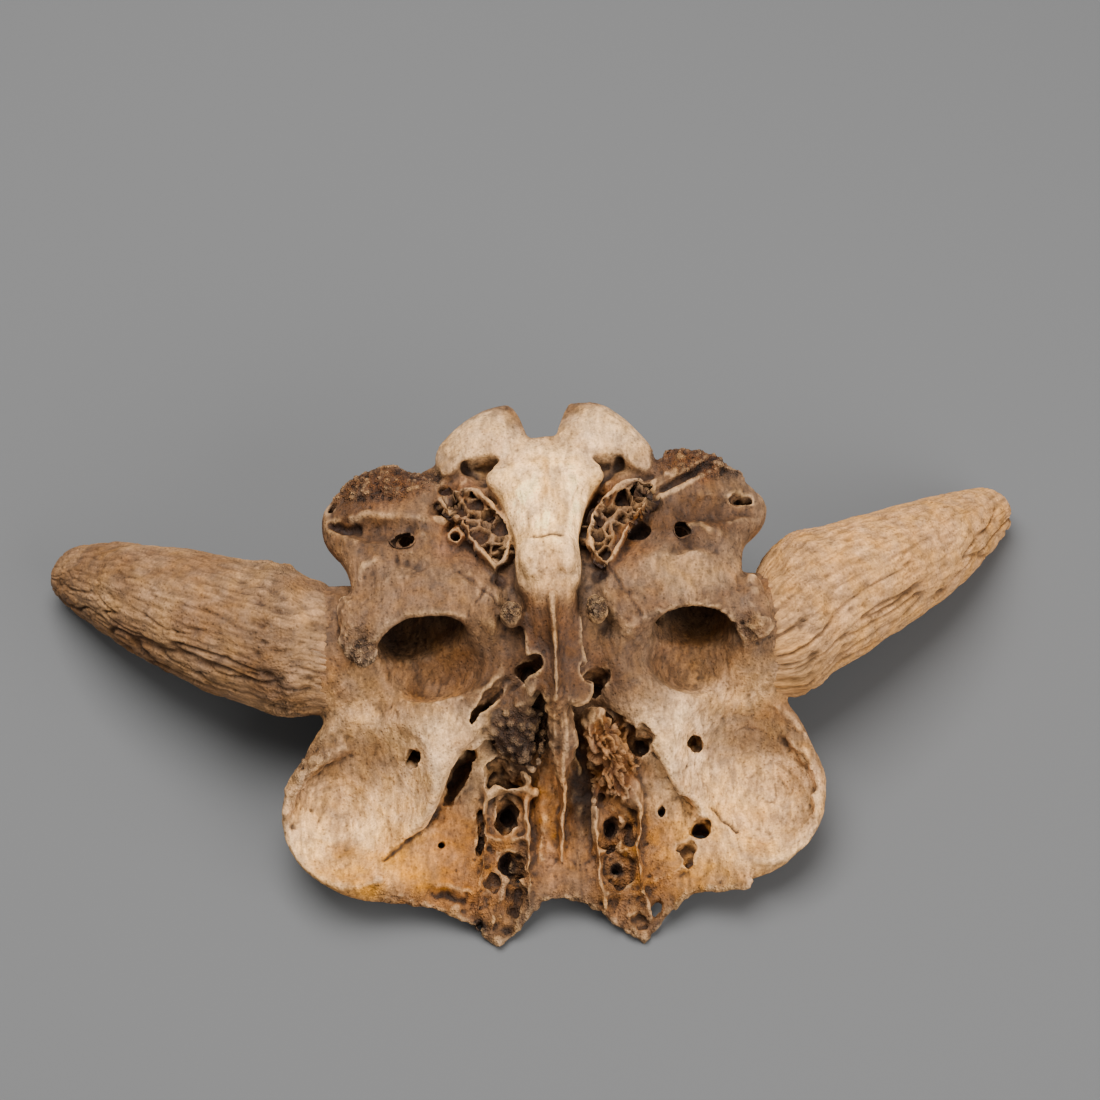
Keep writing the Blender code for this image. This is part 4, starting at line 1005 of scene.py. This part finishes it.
def cranium():
    """The skull without its horn cores, in strips that meet without a gap."""
    body = mesh_object("cranium", masses)
    fuse(body, smooth=6, voxel=COARSE)
    apply_modifiers(body)
    combine(body, hollows, "DIFFERENCE", smooth=3, voxel=COARSE)
    combine(body, skull_base, "UNION")
    combine(body, brow_cavities, "UNION", TORN)
    combine(body, rims, "UNION", TORN)
    combine(body, holes, "DIFFERENCE", RAGGED)
    mesh = body.data
    world = grid_points(mesh.vertices, "co")
    normals = grid_points(mesh.vertices, "normal") @ (TO_SKULL[:3, :3].T * MM)
    points = world @ TO_SKULL[:3, :3].T + TO_SKULL[:3, 3]
    edges = np.empty(len(mesh.edges) * 2, dtype=np.int32)
    mesh.edges.foreach_get("vertices", edges)
    corners = np.empty(len(mesh.polygons) * 4, dtype=np.int32)
    mesh.polygons.foreach_get("vertices", corners)
    edges, corners = edges.reshape(-1, 2), corners.reshape(-1, 4)
    bpy.data.objects.remove(body, do_unlink=True)
    points, rough, depth, grit = finish_surface(points, normals)
    near = relaxed(points, edges, rounds=14)
    hollow = np.einsum("ij,ij->i", near - points, normals)
    wide = np.einsum("ij,ij->i", relaxed(near, edges, rounds=70) - near, normals)
    tone = bone_tones(points, hollow, wide, rough, depth)
    middles = points[corners].mean(axis=1)
    pieces = []
    limits = np.quantile(middles[:, 1], np.linspace(0, 1, len(PARTS) + 1))
    for label, low, high in zip(PARTS, limits, [*limits[1:-1], math.inf]):
        chosen = corners[(middles[:, 1] >= low) & (middles[:, 1] < high)]
        used, packed = np.unique(chosen, return_inverse=True)
        faces, at = packed.reshape(-1, 4).tolist(), points[used]
        pieces.append(painted(label, at, faces, tone[used], grit[used], at))
    return pieces


def bone_material():
    """Bone that takes its colour and grit from the mesh, with fibres, pores and grains of its own."""
    material = bpy.data.materials.new("weathered_bone")
    material.use_nodes = True
    nodes, links = material.node_tree.nodes, material.node_tree.links
    shader = nodes["Principled BSDF"]
    shader.inputs["Specular IOR Level"].default_value = 0.25

    def node(kind, **inputs):
        """A new node, each of whose named inputs has a value or follows the output of another node."""
        made = nodes.new("ShaderNode" + kind)
        for name, value in inputs.items():
            if isinstance(value, bpy.types.NodeSocket):
                links.new(value, made.inputs[name])
            else:
                made.inputs[name].default_value = value
        return made

    def from_mesh(name):
        found = node("Attribute")
        found.attribute_name = name
        return found.outputs

    def texture(scale, detail, stretch=(1, 1, 1)):
        squeezed = node("Mapping", Scale=stretch, Vector=place).outputs["Vector"]
        return node("TexNoise", Scale=scale, Detail=detail, Distortion=0.4, Vector=squeezed).outputs["Fac"]

    def cells(scale):
        return node("TexVoronoi", Scale=scale, Vector=place).outputs["Distance"]

    def spread(value, low, high, to_low, to_high):
        found = node("MapRange")
        for index, number in enumerate((low, high, to_low, to_high), 1):
            found.inputs[index].default_value = number
        links.new(value, found.inputs[0])
        return found.outputs[0]

    place = from_mesh("fibre_place")["Vector"]
    tone = from_mesh("bone_tone")
    grain = texture(750, 5)
    patch = texture(160, 4)
    fibre = texture(330, 5, (1, 0.3, 0.6))
    pore = spread(cells(380), 0.12, 0.34, 0, 1)
    granule = node("Math")
    granule.operation = "MULTIPLY"
    links.new(spread(cells(620), 0.2, 0.6, 0, 1), granule.inputs[0])
    links.new(tone["Alpha"], granule.inputs[1])
    colour = tone["Color"]
    for value in (
        spread(grain, 0.3, 0.7, 0.74, 1.26),
        spread(patch, 0.3, 0.7, 0.86, 1.14),
        spread(fibre, 0.35, 0.65, 0.74, 1.24),
        spread(pore, 0, 1, 0.7, 1),
        spread(granule.outputs[0], 0, 1, 1.05, 0.5),
    ):
        scaled = node("VectorMath")
        scaled.operation = "SCALE"
        links.new(colour, scaled.inputs[0])
        links.new(value, scaled.inputs["Scale"])
        colour = scaled.outputs[0]
    hue = spread(texture(60, 3), 0.3, 0.7, 0.4985, 0.502)
    saturation = spread(texture(80, 3), 0.3, 0.7, 1.03, 1.17)
    varied = node("HueSaturation", Hue=hue, Saturation=saturation, Color=colour)
    links.new(varied.outputs["Color"], shader.inputs["Base Color"])
    links.new(spread(patch, 0.3, 0.7, 0.62, 0.88), shader.inputs["Roughness"])
    normal = None
    for height, strength, distance in (
        (pore, 0.5, 0.0007),
        (grain, 0.6, 0.0006),
        (fibre, 0.8, 0.0011),
        (patch, 0.6, 0.0012),
        (granule.outputs[0], 1, -0.0012),
    ):
        bump = node("Bump", Strength=strength, Distance=distance, Height=height)
        if normal:
            links.new(normal, bump.inputs["Normal"])
        normal = bump.outputs["Normal"]
    links.new(normal, shader.inputs["Normal"])
    return material


def floor_and_light():
    """The photograph's plain floor, and studio light."""
    mesh = bpy.data.meshes.new("floor")
    corners = [(x * FLOOR_SIZE, y * FLOOR_SIZE, 0) for x, y in ((-1, -1), (1, -1), (1, 1), (-1, 1))]
    mesh.from_pydata(corners, [], [(0, 1, 2, 3)])
    paint = bpy.data.materials.new("floor")
    paint.use_nodes = True
    shader = paint.node_tree.nodes["Principled BSDF"]
    shader.inputs["Base Color"].default_value = FLOOR_COLOUR
    shader.inputs["Roughness"].default_value = 0.9
    mesh.materials.append(paint)
    floor = placed("floor", mesh)
    for name, at, size, power, target in LIGHTS:
        light = bpy.data.lights.new(name, "AREA")
        light.size = size
        light.energy = power
        lamp = placed(name, light)
        lamp.location = at
        lamp.rotation_euler = (Vector(target) - Vector(at)).to_track_quat("-Z", "Y").to_euler()
    world = bpy.data.worlds.new("studio")
    world.use_nodes = True
    background = world.node_tree.nodes["Background"]
    background.inputs["Color"].default_value = (1, 1, 1, 1)
    background.inputs["Strength"].default_value = FILL
    bpy.context.scene.world = world


def camera():
    """Looks down on the skull from its broken front, as the photograph does."""
    turn, height = math.radians(CAMERA_TURN), math.radians(CAMERA_HEIGHT)
    back = Vector((math.sin(turn) * math.cos(height), -math.cos(turn) * math.cos(height), math.sin(height)))
    right = Vector((math.cos(turn), math.sin(turn), 0))
    up = back.cross(right)
    aim = SKULL @ Vector(AIM)
    at = aim + back * CAMERA_DISTANCE + (right * AIM_LEFT + up * AIM_DOWN) * PIXEL
    lens = bpy.data.cameras.new("camera")
    lens.sensor_width = SENSOR
    lens.lens = CAMERA_DISTANCE / PIXEL / PHOTO_WIDTH * SENSOR
    eye = placed("camera", lens)
    eye.matrix_world = Matrix.Translation(at) @ Matrix((right, up, back)).transposed().to_4x4()
    bpy.context.scene.camera = eye


pieces = cranium()
pieces.append(horn_core("horn_core_left", HORN_LEFT, LEFT))
pieces.append(horn_core("horn_core_right", HORN_RIGHT, RIGHT))
bone = bone_material()
for piece in pieces:
    piece.data.materials.append(bone)
    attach(piece, "root")
    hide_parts("skull")
floor_and_light()
camera()
